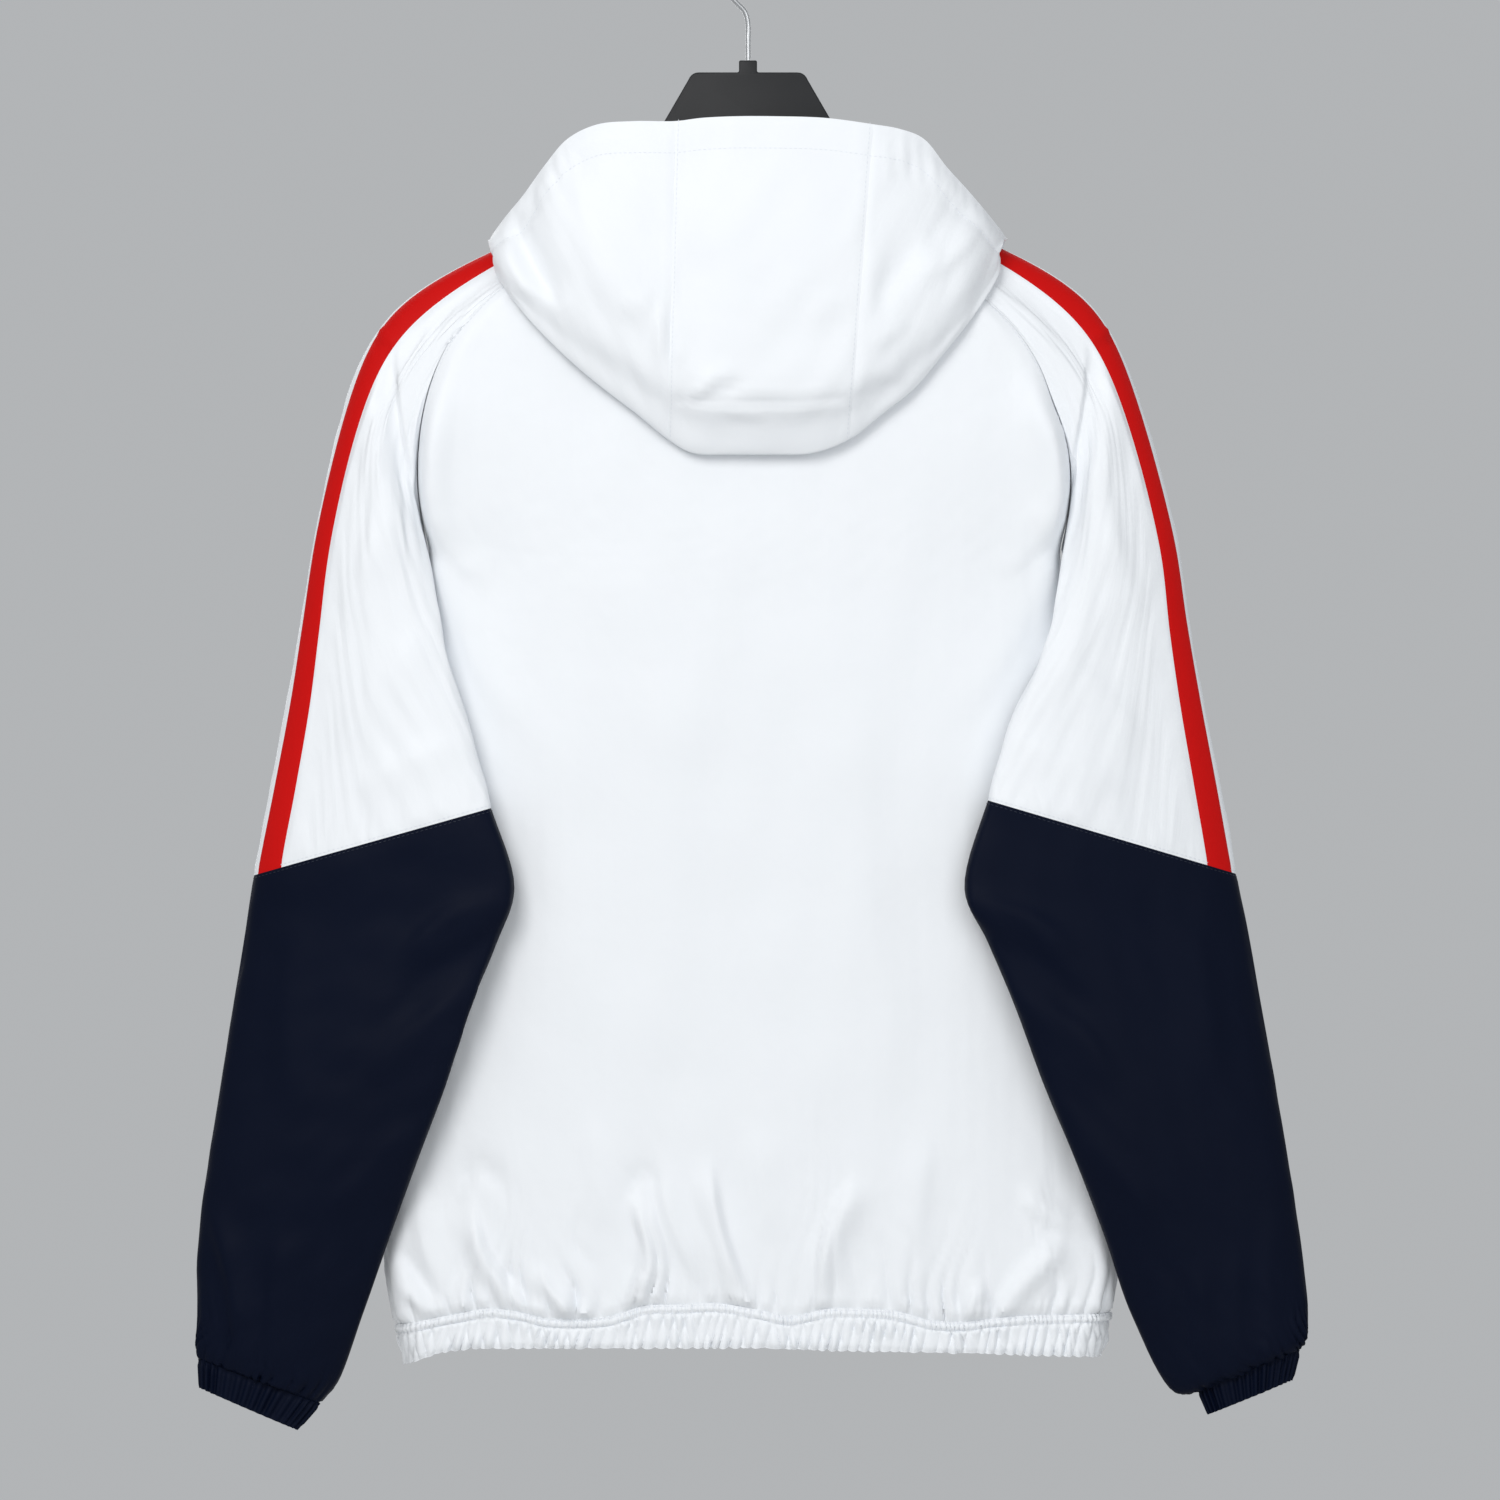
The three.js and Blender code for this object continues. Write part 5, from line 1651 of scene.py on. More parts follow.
    def _front(self, side: Side) -> Panel:
        """A front with its folds.

        Args:
            side: Which front.

        Returns:
            The panel.
        """
        grid = eased_grid(self.cut.front_grid(side), self.row_steps, self.front_column_steps)
        panel = Panel(f"front_{side.word}", grid, 1)
        seed = 20 + side.value
        return panel.raise_by(Relief(
            creases=[Creases(self.front_creases)],
            ripples=[
                Ripples(height=0.9, length=120.0, seed=seed, stretch=2.2),
                Ripples(height=0.35, length=38.0, seed=seed + 2, stretch=1.6),
            ],
            gathers=[
                Gathers(Edge.BOTTOM, pitch=5.6, height=1.3, reach=7.0, seed=seed + 4, start=0.8),
                Gathers(Edge.BOTTOM, pitch=15.0, height=2.6, reach=24.0, seed=seed + 10, start=2.5),
                Gathers(Edge.FIRST, pitch=12.0, height=0.3, reach=9.0, seed=seed + 6),
                Gathers(Edge.LAST, pitch=12.0, height=0.3, reach=9.0, seed=seed + 8),
            ],
            held={Edge.TOP: 10.0, Edge.BOTTOM: 5.0, Edge.FIRST: 9.0, Edge.LAST: 9.0},
        ))

    def _band(self, name: str, panel: Panel, seed: int) -> Panel:
        """A stretch of the hem band under a panel.

        Args:
            name: The band's name.
            panel: The panel above it.
            seed: What its unevenness starts from.

        Returns:
            The band.
        """
        band = self._band_form(name, panel.plain[-1])
        at = band.places()
        left, height = self._band_folds(at, seed)
        band.move_out(height)
        length = at.down[-1:].max()
        band.grid[..., 2] -= self.scallop * left * smooth((at.down / length - 0.7) / 0.3)
        piece = add_piece(name, band.mesh(), self.finishes.white, [name])
        width, length, _ = band.flat_size()
        width * self.cut_fullness
        lines = [band.line(Edge.TOP, 1.2), band.line(Edge.TOP, self.header + 0.3)]
        self.runs.make(f"{name}_stitches", lines, BAND_STITCHES, self.finishes.white_thread, "white_cloth")
        return band

    def _band_form(self, name: str, top: Array) -> Panel:
        """The plain form of a stretch of the band, which narrows and rolls in towards its lower edge.

        Args:
            name: The band's name.
            top: The points of the panel's edge above it.

        Returns:
            The band before its folds.
        """
        arc = arc_lengths(top)
        waves = int(round(arc[-1] / self.hem_pitch))
        places = np.linspace(0, arc[-1], waves * self.wave_steps + 1)
        first = np.stack([np.interp(places, arc, top[:, k]) for k in range(3)], axis=1)
        rows = []
        for down in np.linspace(0, 1, self.hem_rows + 1):
            x = first[:, 0] * (1 - self.hem_narrowing * down)
            drop = mix(-first[:, 2], look_up(self.cut.hem_bottom, "x", "drop", x), down)
            roll = -self.band_roll * smooth((down - 0.85) / 0.15)
            rows.append(point(x, first[:, 1] + np.sign(first[:, 1]) * roll, drop))
        return Panel(name, np.array(rows), 1, wall=self.band_wall)

    def _band_folds(self, at: Places, seed: int) -> tuple[Array, Array]:
        """The folds of a stretch of the band: a finely tucked header over slanted gathers.

        Args:
            at: Where the band's points are.
            seed: What its unevenness starts from.

        Returns:
            The gathers that lean to one side, from -1 to 1, and how far the band's points stand out.
        """
        varied = Ripples(1.0, self.hem_pitch * 3, seed + 1).at(at.across, at.down)
        uneven = np.clip(1 + 0.5 * varied, 0.3, 2.0)
        lean = self.band_lean * (at.down - self.header)
        left = pleated(at.across + lean, self.hem_pitch, seed)
        right = pleated(at.across - lean, self.hem_pitch * 1.3, seed + 3)
        below = self.gather_height * uneven * (0.65 * left + 0.5 * right)
        above = self.header_height * (0.6 + pleated(at.across, self.header_pitch, seed + 5))
        height = mix(above, below, smooth((at.down - self.header) / 2.0))
        for row in (self.top_groove, self.header):
            groove = np.exp(-(((at.down - row) / self.groove_width) ** 2))
            height = height * (1 - 0.6 * groove) - self.groove_depth * groove
        return left, height

    def _zip_half(self, side: Side, front: Panel, hem: Panel) -> None:
        """Makes half of the zip: its tape and its teeth.

        Args:
            side: Which half.
            front: The front that it is sewn to.
            hem: The band under that front.
        """
        inner = {Side.LEFT: 0, Side.RIGHT: -1}[side]
        outer = np.concatenate([front.plain[:, inner], hem.plain[1:, inner]])
        meeting = outer.copy()
        meeting[:, 0] = self.meeting_gap * side.value
        outer = outer + np.array([self.tape_inset * -side.value, 0.0, 0.0])
        pair = [meeting, outer] if side is Side.LEFT else [outer, meeting]
        rows = np.stack([pair[0], mix(pair[0], pair[1], 0.5), pair[1]], axis=1)
        rows[..., 1] += 0.6
        tape = Panel(f"zip_{side.word}", rows, 1, wall=1.0)
        add_piece(tape.name, tape.mesh(), self.finishes.tape, [tape.name])
        line = meeting + np.array([self.tooth_inset * side.value, 0.2, 0.0])
        if side is Side.LEFT:
            start = unit(line[1] - line[0]) * ZIP_TEETH.pitch / 2
            line = np.concatenate([line[:1] + start, line[1:]])
        out = np.tile(np.array([0.0, -1.0, 0.0]), (len(line), 1))
        self.runs.make(f"zip_teeth_{side.word}", [(line, out)], ZIP_TEETH, self.finishes.teeth, "zip_tape")


@dataclass
class Sleeves:
    """Both sleeves with their stripes and cuffs."""

    cut: SleeveCut
    runs: Runs
    finishes: Finishes
    steps: tuple[int, int] = (8, 6)
    shoulder_steps: tuple[int, int] = (10, 13)
    shoulder_rings: int = 6
    shoulder_fade: float = 2.0
    shoulder_passes: int = 2
    stripe_columns: int = 2
    seam_inset: float = 2.0
    cuff_waves: int = 34
    cuff_rows: int = 14
    cuff_height: float = 1.1
    cuff_wall: float = 1.2
    wave_steps: int = 8
    cut_fullness: float = 1.4

    stripe_creases: Table = field(default_factory=lambda: table(
        "x1 y1 x2 y2 bend height steep soft start end",
        (364, 332, 396, 356, 0.05, -1.8, 2, 6, 0.7, 0.7),
        (370, 322, 402, 346, 0.05, 1.6, 6, 3, 0.7, 0.7),
        (1098, 346, 1130, 330, 0.05, -1.8, 2, 6, 0.7, 0.7),
        (1092, 336, 1124, 320, 0.05, 1.6, 6, 3, 0.7, 0.7),
    ))

    creases: Table = field(default_factory=lambda: table(
        "x1 y1 x2 y2 bend height steep soft start end",
        (391, 338, 421, 520, 0.03, -4.0, 9, 1.6, 0.2, 0.2),
        (372, 350, 392, 520, 0.05, 3, 12, 6, 0.1, 0.1),
        (404, 470, 366, 600, 0.08, 2.0, 8, 16, 0.1, 0),
        (405, 500, 345, 640, 0.05, 2.2, 9, 16, 0.2, 0),
        (350, 420, 335, 620, -0.04, 1.8, 9, 14, 0, 0),
        (445, 620, 330, 760, 0.06, 2.4, 9, 18, 0.3, 0),
        (470, 740, 350, 800, 0.06, 2.2, 8, 14, 0.3, 0),
        (500, 900, 400, 960, 0.1, 3.5, 6, 14, 0.6, 0),
        (495, 935, 385, 1030, 0.08, -3, 8, 14, 0.5, 0),
        (470, 990, 360, 1090, 0.06, 3, 7, 15, 0.4, 0),
        (300, 900, 290, 1120, 0.03, 2.2, 10, 16, 0, 0),
        (430, 1120, 330, 1230, 0.06, 2.4, 8, 16, 0.3, 0),
        (206, 1196, 240, 1370, -0.05, 4, 5, 11, 0, 0.5),
        (290, 1210, 275, 1380, 0.04, 2.6, 7, 12, 0, 0.6),
        (335, 1230, 310, 1385, 0.04, 2.4, 7, 12, 0, 0.6),
        (1092, 335, 1062, 506, -0.03, -3.4, 1.6, 9, 0.2, 0.2),
        (1111, 350, 1088, 510, -0.05, 3, 6, 12, 0.1, 0.1),
        (1080, 456, 1118, 590, -0.08, 2.0, 16, 8, 0.1, 0),
        (1085, 500, 1140, 640, -0.05, 2.2, 16, 9, 0.2, 0),
        (1135, 420, 1155, 620, 0.04, 1.8, 14, 9, 0, 0),
        (1030, 640, 1150, 760, -0.06, 2.4, 18, 9, 0.3, 0),
        (1005, 740, 1130, 800, -0.06, 2.2, 14, 8, 0.3, 0),
        (975, 900, 1080, 960, -0.1, 3.5, 14, 6, 0.6, 0),
        (985, 935, 1100, 1030, -0.08, -3, 14, 8, 0.5, 0),
        (1015, 990, 1125, 1090, -0.06, 3, 15, 7, 0.4, 0),
        (1190, 900, 1205, 1120, -0.03, 2.2, 16, 10, 0, 0),
        (1060, 1120, 1160, 1230, -0.06, 2.4, 16, 8, 0.3, 0),
        (1200, 1250, 1205, 1380, 0.03, 3, 6, 11, 0, 0.6),
        (1240, 1230, 1235, 1385, 0.03, 2.6, 7, 11, 0, 0.6),
        (1160, 1270, 1185, 1385, 0.04, 2.6, 7, 11, 0, 0.6),
        (1275, 1200, 1272, 1350, 0.03, 2.2, 7, 11, 0, 0.5),
    ))

    def build(self, back: Array) -> dict[Side, Array]:
        """Makes both sleeves.

        Args:
            back: The back panel's coarse points, which the sleeves lie over.

        Returns:
            The sleeves' coarse points.
        """
        under = Surface([back], Face.BACK)
        made = {}
        for side in Side:
            made[side] = self.cut.grid(side, under)
            self._side(side, made[side])
        return made

    def _side(self, side: Side, coarse: Array) -> None:
        """Makes one sleeve.

        Args:
            side: Which sleeve.
            coarse: Its points.
        """
        stripe = self.cut.body.seam_rows
        stripe_end = stripe + self.stripe_columns
        middle = stripe_end + 1
        upper, lower = slice(0, self.cut.colour_seam + 1), slice(self.cut.colour_seam, None)
        pieces = {
            "sleeve_upper_back": (upper, slice(0, stripe + 1), "white_cloth", 1.0),
            "stripe": (upper, slice(stripe, stripe_end + 1), "red_cloth", 0.15),
            "sleeve_upper_front": (upper, slice(stripe_end, None), "white_cloth", 0.8),
            "sleeve_lower_back": (lower, slice(0, middle + 1), "navy_cloth", 1.0),
            "sleeve_lower_front": (lower, slice(middle, None), "navy_cloth", 0.8),
        }
        finishes = {
            "white_cloth": self.finishes.white,
            "red_cloth": self.finishes.red,
            "navy_cloth": self.finishes.navy,
        }
        lines = {"white_cloth": [], "navy_cloth": []}
        for k, (part, (rows, columns, slot, share)) in enumerate(pieces.items()):
            steps = self.shoulder_steps if part == "sleeve_upper_back" else self.steps
            fine = self._fine(coarse, rows, columns, steps)
            panel = Panel(f"{part}_{side.word}", fine, -side.value)
            panel.raise_by(self._relief(slot, share, 60 + 20 * side.value + k))
            piece = add_piece(panel.name, panel.mesh(), finishes[slot], [panel.name])
            straight = self.shoulder_rings * steps[0] if rows is upper else 0
            width, length, area = panel.flat_size(straight)
            if slot in lines:
                edge = Edge.BOTTOM if rows is upper else Edge.TOP
                lines[slot].append(panel.line(edge, self.seam_inset))
        for slot, name, thread in (
            ("white_cloth", "sleeve_stitches", self.finishes.white_thread),
            ("navy_cloth", "lower_sleeve_stitches", self.finishes.navy_thread),
        ):
            self.runs.make(f"{name}_{side.word}", lines[slot], SEAM_STITCHES, thread, slot)
        self._cuff(side)

    def _relief(self, slot: str, share: float, seed: int) -> Relief:
        """The folds of a panel.

        Args:
            slot: The slot of its cloth.
            share: How strong its unevenness is.
            seed: What that starts from.

        Returns:
            The relief.
        """
        creases = self.creases
        held = {Edge.TOP: 10.0, Edge.BOTTOM: 8.0, Edge.FIRST: 10.0, Edge.LAST: 6.0}
        gathers = []
        if slot == "white_cloth":
            gathers = [Gathers(Edge.BOTTOM, pitch=11.0, height=0.4, reach=9.0, seed=seed)]
        elif slot == "navy_cloth":
            held[Edge.BOTTOM] = 2.0
            gathers = [Gathers(Edge.BOTTOM, pitch=6.2, height=1.6 * share, reach=17.0, seed=seed, start=1.0)]
        else:
            creases = self.stripe_creases
            held = {Edge.FIRST: 2.0, Edge.LAST: 2.0, Edge.TOP: 4.0, Edge.BOTTOM: 4.0}
        ripples = [
            Ripples(height=0.8 * share, length=90.0, seed=seed + 9, stretch=1.8),
            Ripples(height=0.3 * share, length=30.0, seed=seed + 12),
        ]
        return Relief(creases=[Creases(creases)], ripples=ripples, gathers=gathers, held=held)

    def _evened(self, grid: Array, step: int) -> Array:
        """Evens out a sleeve's shoulder down its columns.

        Args:
            grid: The sleeve's points.
            step: How many steps each step of the coarse grid has become.

        Returns:
            The points, of which those below the shoulder haven't moved.
        """
        ring = np.arange(1, len(grid) - 1)[:, None, None] / step
        free = 1 - smooth((ring - self.shoulder_rings) / self.shoulder_fade)
        made = grid.copy()
        for _ in range(self.shoulder_passes * step * step):
            mean = (made[:-2] + 2 * made[1:-1] + made[2:]) / 4
            made[1:-1] += free * (mean - made[1:-1])
        return made

    def _fine(self, coarse: Array, rows: slice, columns: slice, steps: tuple[int, int]) -> Array:
        """Part of a sleeve's grid with more points, on the smooth surface through the whole grid.

        Args:
            coarse: The whole sleeve's points.
            rows: The part's rows in it.
            columns: The part's columns in it.
            steps: How many steps each step becomes, down and across.

        Returns:
            The part's points.
        """
        part = [slice(span.start * step, None if span.stop is None else (span.stop - 1) * step + 1)
                for span, step in zip((rows, columns), steps)]
        return self._evened(eased_grid(coarse, *steps), steps[0])[part[0], part[1]]

    def _cuff(self, side: Side) -> None:
        """Makes a gathered cuff on an elastic.

        Args:
            side: Which sleeve's cuff.
        """
        top = self.cut.ring(side, len(self.cut.depths["keep"]) - 1)
        column = list(Side).index(side)
        ends = {name: float(values[column]) for name, values in self.cut.cuff_ends.items()}
        degrees = np.linspace(0, 360, self.cuff_waves * self.wave_steps + 1)
        rows = []
        for down in np.linspace(0, 1, self.cuff_rows + 1):
            ring = {name: mix(top[name], ends[name], down) for name in ends if name != "side"}
            rows.append(self.cut.plain_ring(ring, side, degrees))
        cuff = Panel(f"cuff_{side.word}", np.array(rows), -side.value, closed=True, wall=self.cuff_wall)
        height = self._cuff_folds(cuff.places().down, degrees / 360, side.value)
        cuff.move_out(height)
        cuff.grid[:, -1] = cuff.grid[:, 0]
        piece = add_piece(cuff.name, cuff.mesh(), self.finishes.navy, [cuff.name])
        width, length, _ = cuff.flat_size()
        width * self.cut_fullness

    def _cuff_folds(self, down: Array, turned: Array, phase: float) -> Array:
        """How far a cuff's points stand out, in folds that meet themselves all round.

        Args:
            down: Lengths down the cuff.
            turned: Shares of a turn round it.
            phase: Where their unevenness starts.

        Returns:
            The height at each point.
        """
        turn = 2 * np.pi * turned[None, :]
        shift = 0.1 * np.sin(3 * turn + 1.0) + 0.07 * np.sin(7 * turn + 2.0)
        uneven = 1 + 0.25 * np.sin(5 * turn + phase) + 0.2 * np.sin(11 * turn)
        wave = np.sin(self.cuff_waves * turn + 2 * np.pi * shift)
        height = self.cuff_height * uneven * np.sign(wave) * np.abs(wave) ** 0.75
        height = height * mix(0.5, 1.0, smooth(down / 4.0)) * mix(1.0, 0.6, smooth((down - 16) / 4))
        return height - 0.5 * np.exp(-(((down - 2.0) / 1.2) ** 2))


@dataclass
class Hood:
    """The three panels of the hood, with the casing along its rim."""

    cut: HoodCut
    runs: Runs
    finishes: Finishes
    row_steps: int = 6
    column_steps: int = 8
    casing: float = 21.0
    casing_groove: float = 2.0
    casing_spread: float = 7.0
    rim_hold: float = 12.0
    seam_inset: float = 2.0

    creases: Table = field(default_factory=lambda: table(
        "x1 y1 x2 y2 bend height steep soft start end",
        (670, 403, 853, 401, 0.02, -2.8, 2.2, 9, 0.7, 0.7),
        (676, 392, 846, 391, 0.02, 1.8, 8, 3, 0.4, 0.4),
        (688, 400, 716, 378, 0.1, 3.2, 3, 5, 0.2, 0.1),
        (712, 396, 748, 384, 0.08, -2.6, 3, 5, 0.2, 0.1),
        (700, 384, 740, 372, 0.05, 2.0, 3, 7, 0.1, 0),
        (720, 410, 770, 416, 0.05, 1.6, 4, 8, 0.1, 0),
        (514, 222, 566, 312, 0.1, -7, 4, 14, 0.4, 0),
        (500, 238, 540, 306, 0.06, 3.6, 8, 6, 0.3, 0),
        (538, 178, 528, 214, 0.1, -2.5, 4, 8, 0.3, 0),
        (575, 160, 640, 330, 0.06, 3.2, 10, 20, 0, 0),
        (664, 296, 612, 304, -0.1, 2.2, 4, 8, 0.2, 0),
        (672, 300, 664, 372, 0.1, 3.0, 4, 10, 0.2, 0.2),
        (984, 214, 906, 286, -0.1, 3.4, 12, 5, 0.3, 0),
        (962, 196, 918, 250, -0.06, -2.4, 5, 12, 0.3, 0),
        (930, 236, 872, 322, 0.08, -2.4, 12, 6, 0.1, 0.1),
        (912, 312, 866, 346, -0.1, 1.8, 12, 5, 0.1, 0.3),
        (884, 250, 866, 310, 0.0, 1.2, 9, 5, 0, 0.4),
        (908, 376, 866, 372, -0.05, 1.2, 9, 5, 0, 0.3),
        (866, 300, 800, 318, 0.08, 2.0, 5, 8, 0.3, 0),
        (900, 146, 910, 176, 0.05, 1.6, 2.5, 2.5, 0.4, 0.1),
        (914, 150, 925, 182, 0.05, 1.7, 2.5, 2.5, 0.4, 0.1),
        (928, 158, 940, 190, 0.05, 1.5, 2.5, 2.5, 0.4, 0.1),
        (884, 148, 890, 170, 0.05, 1.1, 2.5, 2.5, 0.3, 0.1),
        (552, 156, 566, 182, -0.05, 1.5, 2.5, 2.5, 0.4, 0.1),
        (566, 150, 576, 172, -0.05, 1.2, 2.5, 2.5, 0.4, 0.1),
        (540, 168, 556, 196, -0.05, 1.4, 2.5, 2.5, 0.4, 0.1),
        (672, 286, 684, 318, 0.1, -1.6, 2.5, 4, 0.4, 0.1),
        (664, 296, 650, 314, 0.1, -1.3, 2.5, 4, 0.4, 0.1),
        (668, 364, 690, 348, 0.1, 1.4, 2.5, 4, 0.4, 0.1),
        (866, 312, 848, 322, 0.1, -1.8, 2.5, 4, 0.4, 0.1),
        (730, 170, 745, 360, 0.03, 1.6, 24, 24, 0, 0),
        (820, 170, 800, 350, 0.03, 1.6, 24, 24, 0, 0),
    ))

    def build(self, back: Array, fronts: Sequence[Array], sleeves: dict[Side, Array]) -> None:
        """Makes the hood.

        Args:
            back: The back panel's coarse points.
            fronts: The fronts' coarse points.
            sleeves: The sleeves' coarse points.
        """
        seam = self.cut.body.seam_rows
        behind = Surface([back, *(grid[:, :seam + 3] for grid in sleeves.values())], Face.BACK)
        before = Surface([*fronts, *(grid[:, seam + 2:] for grid in sleeves.values())], Face.FRONT)
        fine = eased_grid(self.cut.grid(behind, before), self.row_steps, self.column_steps)
        left = self.cut.seam_left * self.column_steps
        right = self.cut.seam_right * self.column_steps
        spans = {
            "hood_side_left": slice(0, left + 1),
            "hood_centre": slice(left, right + 1),
            "hood_side_right": slice(right, None),
        }
        lines = []
        for k, (name, columns) in enumerate(spans.items()):
            panel = Panel(name, fine[:, columns], -1)
            self._raise(panel, 80 + k)
            piece = add_piece(name, panel.mesh(), self.finishes.white, [name])
            width, length, area = panel.flat_size()
            lines.append(panel.line(Edge.BOTTOM, self.casing))
            if name == "hood_centre":
                lines += [panel.line(edge, self.seam_inset) for edge in (Edge.FIRST, Edge.LAST)]
        self.runs.make("hood_stitches", lines, SEAM_STITCHES, self.finishes.white_thread, "white_cloth")

    def _raise(self, panel: Panel, seed: int) -> None:
        """Gives a hood panel its folds, on its outer layer alone.

        Args:
            panel: The panel.
            seed: What its unevenness starts from.
        """
        at = panel.places()
        fold_row = (len(self.cut.under_shares) + 4) * self.row_steps
        rows = np.arange(panel.grid.shape[0])[:, None]
        outer = smooth((rows - fold_row) / (1.5 * self.row_steps))
        relief = Relief(
            creases=[Creases(self.creases)],
            ripples=[
                Ripples(height=0.8, length=80.0, seed=seed),
                Ripples(height=0.3, length=26.0, seed=seed + 3),
            ],
            held={Edge.FIRST: 8.0, Edge.LAST: 8.0},
            seam_dip=0.7,
        )
        height = relief.height(at) * outer
        to_rim = at.to_edge[Edge.BOTTOM]
        casing = Gathers(Edge.BOTTOM, pitch=11.0, height=0.45, reach=13.0, seed=seed + 5).at(at)
        height = height * smooth(to_rim / self.rim_hold) + casing * outer
        height = height - np.exp(-(((to_rim - self.casing) / self.casing_groove) ** 2)) * outer
        height = height + np.exp(-(((to_rim - self.casing / 2) / self.casing_spread) ** 2)) * outer
        panel.move_out(height)


@dataclass
class Hanger:
    """The moulded hanger, its wire hook, and the zip's slider and pull tab."""

    finishes: Finishes
    bevel: float = 1.0
    metal_bevel: float = 0.25
    wire_radius: float = 1.7
    hook_inner: float = 18.0
    hook_start: float = 205.0
    hook_end: float = -40.0
    hook_turns: int = 40
    wire_sides: int = 20
    stem: Table = field(default_factory=lambda: table(
        "x drop",
        (8.5, 38),
        (2, 45),
        (0, 53),
        (0, 64),
        (0, 76.4),
    ))

    def build(self) -> None:
        """Makes the hanger and finishes the small metal parts."""
        self._plate()
        self._hook()
        for node, body in (("zip_slider", JACKET_BODY), ("zip_pull", TAB_BODY)):
            mesh = merged_copy(node)
            piece = add_piece(f"{node}_finished", mesh, self.finishes.metal, [node], body)
            soften(piece, self.metal_bevel)

    def _plate(self) -> None:
        """The plate and arms, with rounded edges."""
        mesh = merged_copy("hanger")
        work = bmesh.new()
        work.from_mesh(mesh)
        bmesh.ops.dissolve_limit(work, angle_limit=0.02, verts=work.verts, edges=work.edges)
        work.to_mesh(mesh)
        work.free()
        piece = add_piece("hanger_finished", mesh, self.finishes.plastic, ["hanger"])
        soften(piece, self.bevel)

    def _hook(self) -> None:
        """The wire hook as a round tube."""
        radius = self.hook_inner + self.wire_radius
        turn = np.radians(np.linspace(self.hook_start, self.hook_end, self.hook_turns))
        curl = point(radius * np.cos(turn), 0.0, self.hook_inner - radius * np.sin(turn))
        stem = eased(point(self.stem["x"], 0.0, self.stem["drop"]), 5)
        path = np.concatenate([curl, stem])
        along = unit(np.gradient(path, axis=0))
        side = np.array([0.0, 1.0, 0.0])
        other = unit(np.cross(along, side))
        around = np.radians(np.linspace(0, 360, self.wire_sides, endpoint=False))[None, :, None]
        rings = path[:, None] + self.wire_radius * (np.cos(around) * side + np.sin(around) * other[:, None])
        count, sides = rings.shape[:2]
        faces = []
        for low in range(0, (count - 1) * sides, sides):
            high = low + sides
            for j in range(sides):
                ahead = (j + 1) % sides
                faces.append([low + j, low + ahead, high + ahead, high + j])
        mesh = bpy.data.meshes.new("hook")
        caps = [list(range(sides))[::-1], [(count - 1) * sides + j for j in range(sides)]]
        mesh.from_pydata((rings.reshape(-1, 3) * METRES).tolist(), [], faces + caps)
        work = bmesh.new()
        work.from_mesh(mesh)
        bmesh.ops.recalc_face_normals(work, faces=work.faces)
        work.to_mesh(mesh)
        work.free()
        mesh.shade_smooth()
        mesh.set_sharp_from_angle(angle=np.radians(WIRE_EDGE))
        add_piece("hook_finished", mesh, self.finishes.wire, ["hanger_hook"])


def merged_copy(node: str) -> bpy.types.Mesh:
    """Copies a solid's mesh.

    Args:
        node: The solid's name.

    Returns:
        The copy, with its loose triangles joined.
    """
    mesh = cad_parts[node].data.copy()
    mesh.name = f"{node}_joined"
    work = bmesh.new()
    work.from_mesh(mesh)
    bmesh.ops.remove_doubles(work, verts=work.verts, dist=1e-6)
    work.to_mesh(mesh)
    work.free()
    return mesh


def soften(piece: bpy.types.Object, width: float) -> None:
    """Rounds a piece's hard edges.

    Args:
        piece: The piece.
        width: How wide the rounding is, in millimetres.
    """
    modifier = piece.modifiers.new("softened edges", "BEVEL")
    modifier.width = width * METRES
    modifier.segments = 2
    modifier.limit_method = "ANGLE"
    modifier.angle_limit = np.radians(30)
    modifier.harden_normals = False
    shown = piece.evaluated_get(bpy.context.evaluated_depsgraph_get())
    mesh = bpy.data.meshes.new_from_object(shown)
    piece.modifiers.clear()
    piece.data = mesh
    mesh.shade_smooth()
    mesh.set_sharp_from_angle(angle=np.radians(HARD_EDGE))


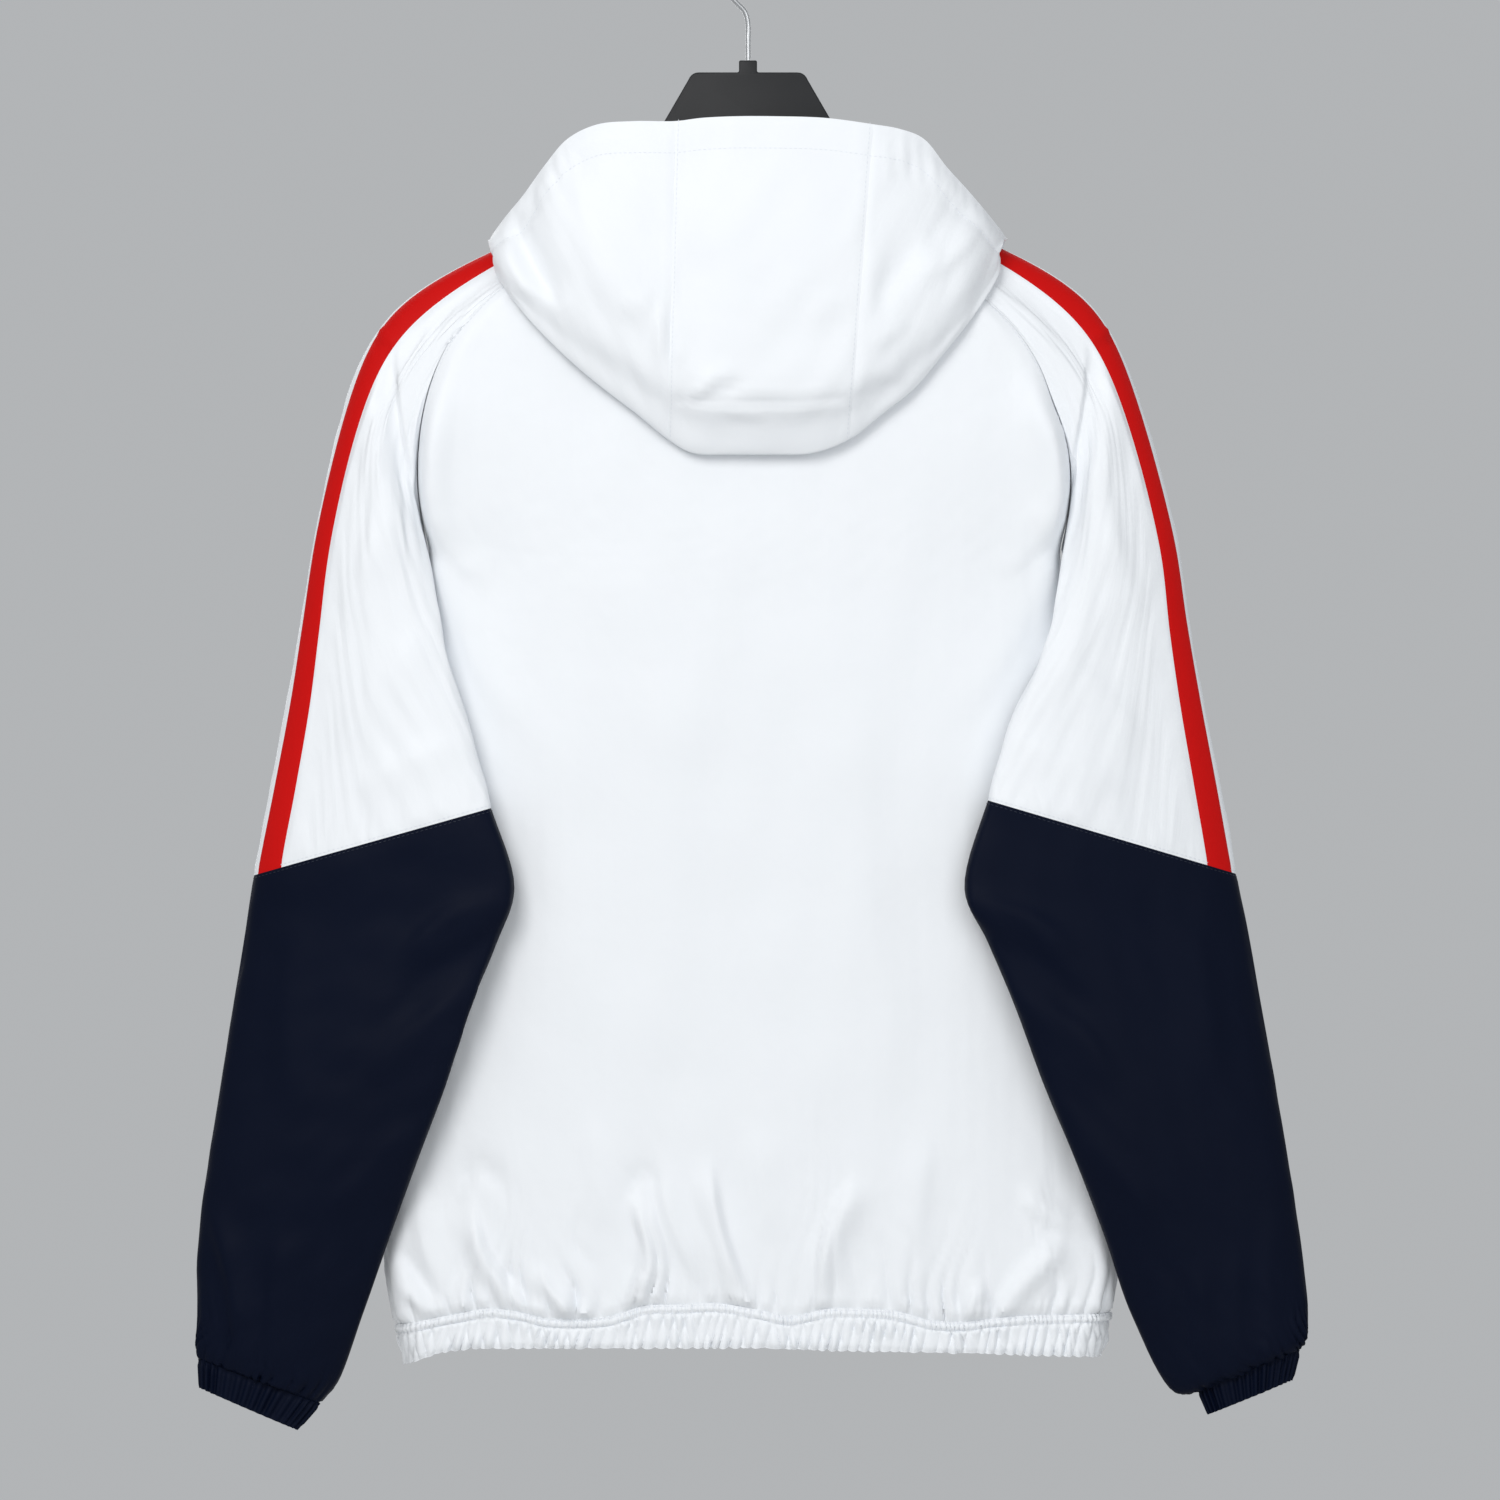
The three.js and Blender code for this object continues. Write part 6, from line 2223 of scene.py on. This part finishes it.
@dataclass(frozen=True)
class Studio:
    """The camera, the floor and the light."""

    centre_x: float = -1.3
    centre_drop: float = 526.5
    picture: float = 1500.0
    lens: float = 300.0
    sensor: float = 36.0
    back_plane: float = 30.0
    floor_drop: float = 1650.0
    floor_half: float = 2.0
    aim: tuple[float, float, float] = (0.0, 0.0, -0.5)
    surroundings: tuple[float, float, float, float] = (0.56, 0.575, 0.59, 1.0)
    surroundings_strength: float = 0.8

    def build(self) -> None:
        """Sets up the whole studio."""
        self._camera()
        self._floor()
        self._world()
        self._lamp("key", place=(1.2, 2.8, 1.2), size=1.7, power=62.0, colour=(1.0, 0.99, 0.98))
        self._lamp("fill", place=(-1.4, 2.8, 0.0), size=2.2, power=23.0, colour=(0.97, 0.985, 1.0))
        self._lamp("front", place=(0.4, -2.4, 0.4), size=2.4, power=36.0, colour=(1.0, 1.0, 1.0))

    def _camera(self) -> None:
        """A level camera square on to the back."""
        data = bpy.data.cameras.new("camera")
        data.lens, data.sensor_width = self.lens, self.sensor
        camera = bpy.data.objects.new("camera", data)
        width = self.picture * PHOTO_SCALE
        away = self.back_plane + width * self.lens / self.sensor
        camera.location = Vector((self.centre_x, away, -self.centre_drop)) * METRES
        camera.rotation_euler = (np.radians(90), 0, np.radians(180))
        bpy.context.scene.collection.objects.link(camera)
        bpy.context.scene.camera = camera

    def _floor(self) -> None:
        """A pale floor under the jacket."""
        half, z = self.floor_half, -self.floor_drop * METRES
        mesh = bpy.data.meshes.new("floor")
        corners = [(-half, -half, z), (half, -half, z), (half, half, z), (-half, half, z)]
        mesh.from_pydata(corners, [], [(0, 1, 2, 3)])
        floor = bpy.data.objects.new("floor", mesh)
        bpy.context.scene.collection.objects.link(floor)
        pale = PlainFinish("floor", (0.62, 0.62, 0.61), 0.7, grain=60.0, worn=0.02)
        mesh.materials.append(pale.material())

    def _world(self) -> None:
        """Plain light-grey surroundings."""
        world = bpy.data.worlds.new("surroundings")
        world.use_nodes = True
        background = world.node_tree.nodes["Background"]
        background.inputs["Color"].default_value = self.surroundings
        background.inputs["Strength"].default_value = self.surroundings_strength
        bpy.context.scene.world = world
        bpy.context.scene.view_settings.view_transform = "Standard"

    def _lamp(self, name: str, place: tuple[float, float, float], size: float, power: float,
              colour: tuple[float, float, float]) -> None:
        """Adds a soft square lamp that faces the jacket's middle.

        Args:
            name: Its name.
            place: Where it stands, in metres.
            size: The length of its sides, in metres.
            power: Its power, in watts.
            colour: Its colour.
        """
        data = bpy.data.lights.new(name, "AREA")
        data.size, data.energy, data.color = size, power, colour
        lamp = bpy.data.objects.new(name, data)
        lamp.location = place
        lamp.rotation_euler = (Vector(self.aim) - Vector(place)).to_track_quat("-Z", "Y").to_euler()
        bpy.context.scene.collection.objects.link(lamp)


def main() -> None:
    """Builds the jacket round its frame."""
    logging.basicConfig(level=logging.INFO, format="%(message)s")
    Studio().build()
    finishes, runs = Finishes.made(), Runs()
    body_cut = BodyCut()
    back = body_cut.back_grid()
    Body(body_cut, runs, finishes).build()
    sleeves = Sleeves(SleeveCut(body_cut), runs, finishes).build(back)
    fronts = [body_cut.front_grid(side) for side in Side]
    Hood(HoodCut(body_cut), runs, finishes).build(back, fronts, sleeves)
    Hanger(finishes).build()


if __name__ == "__main__":
    main()
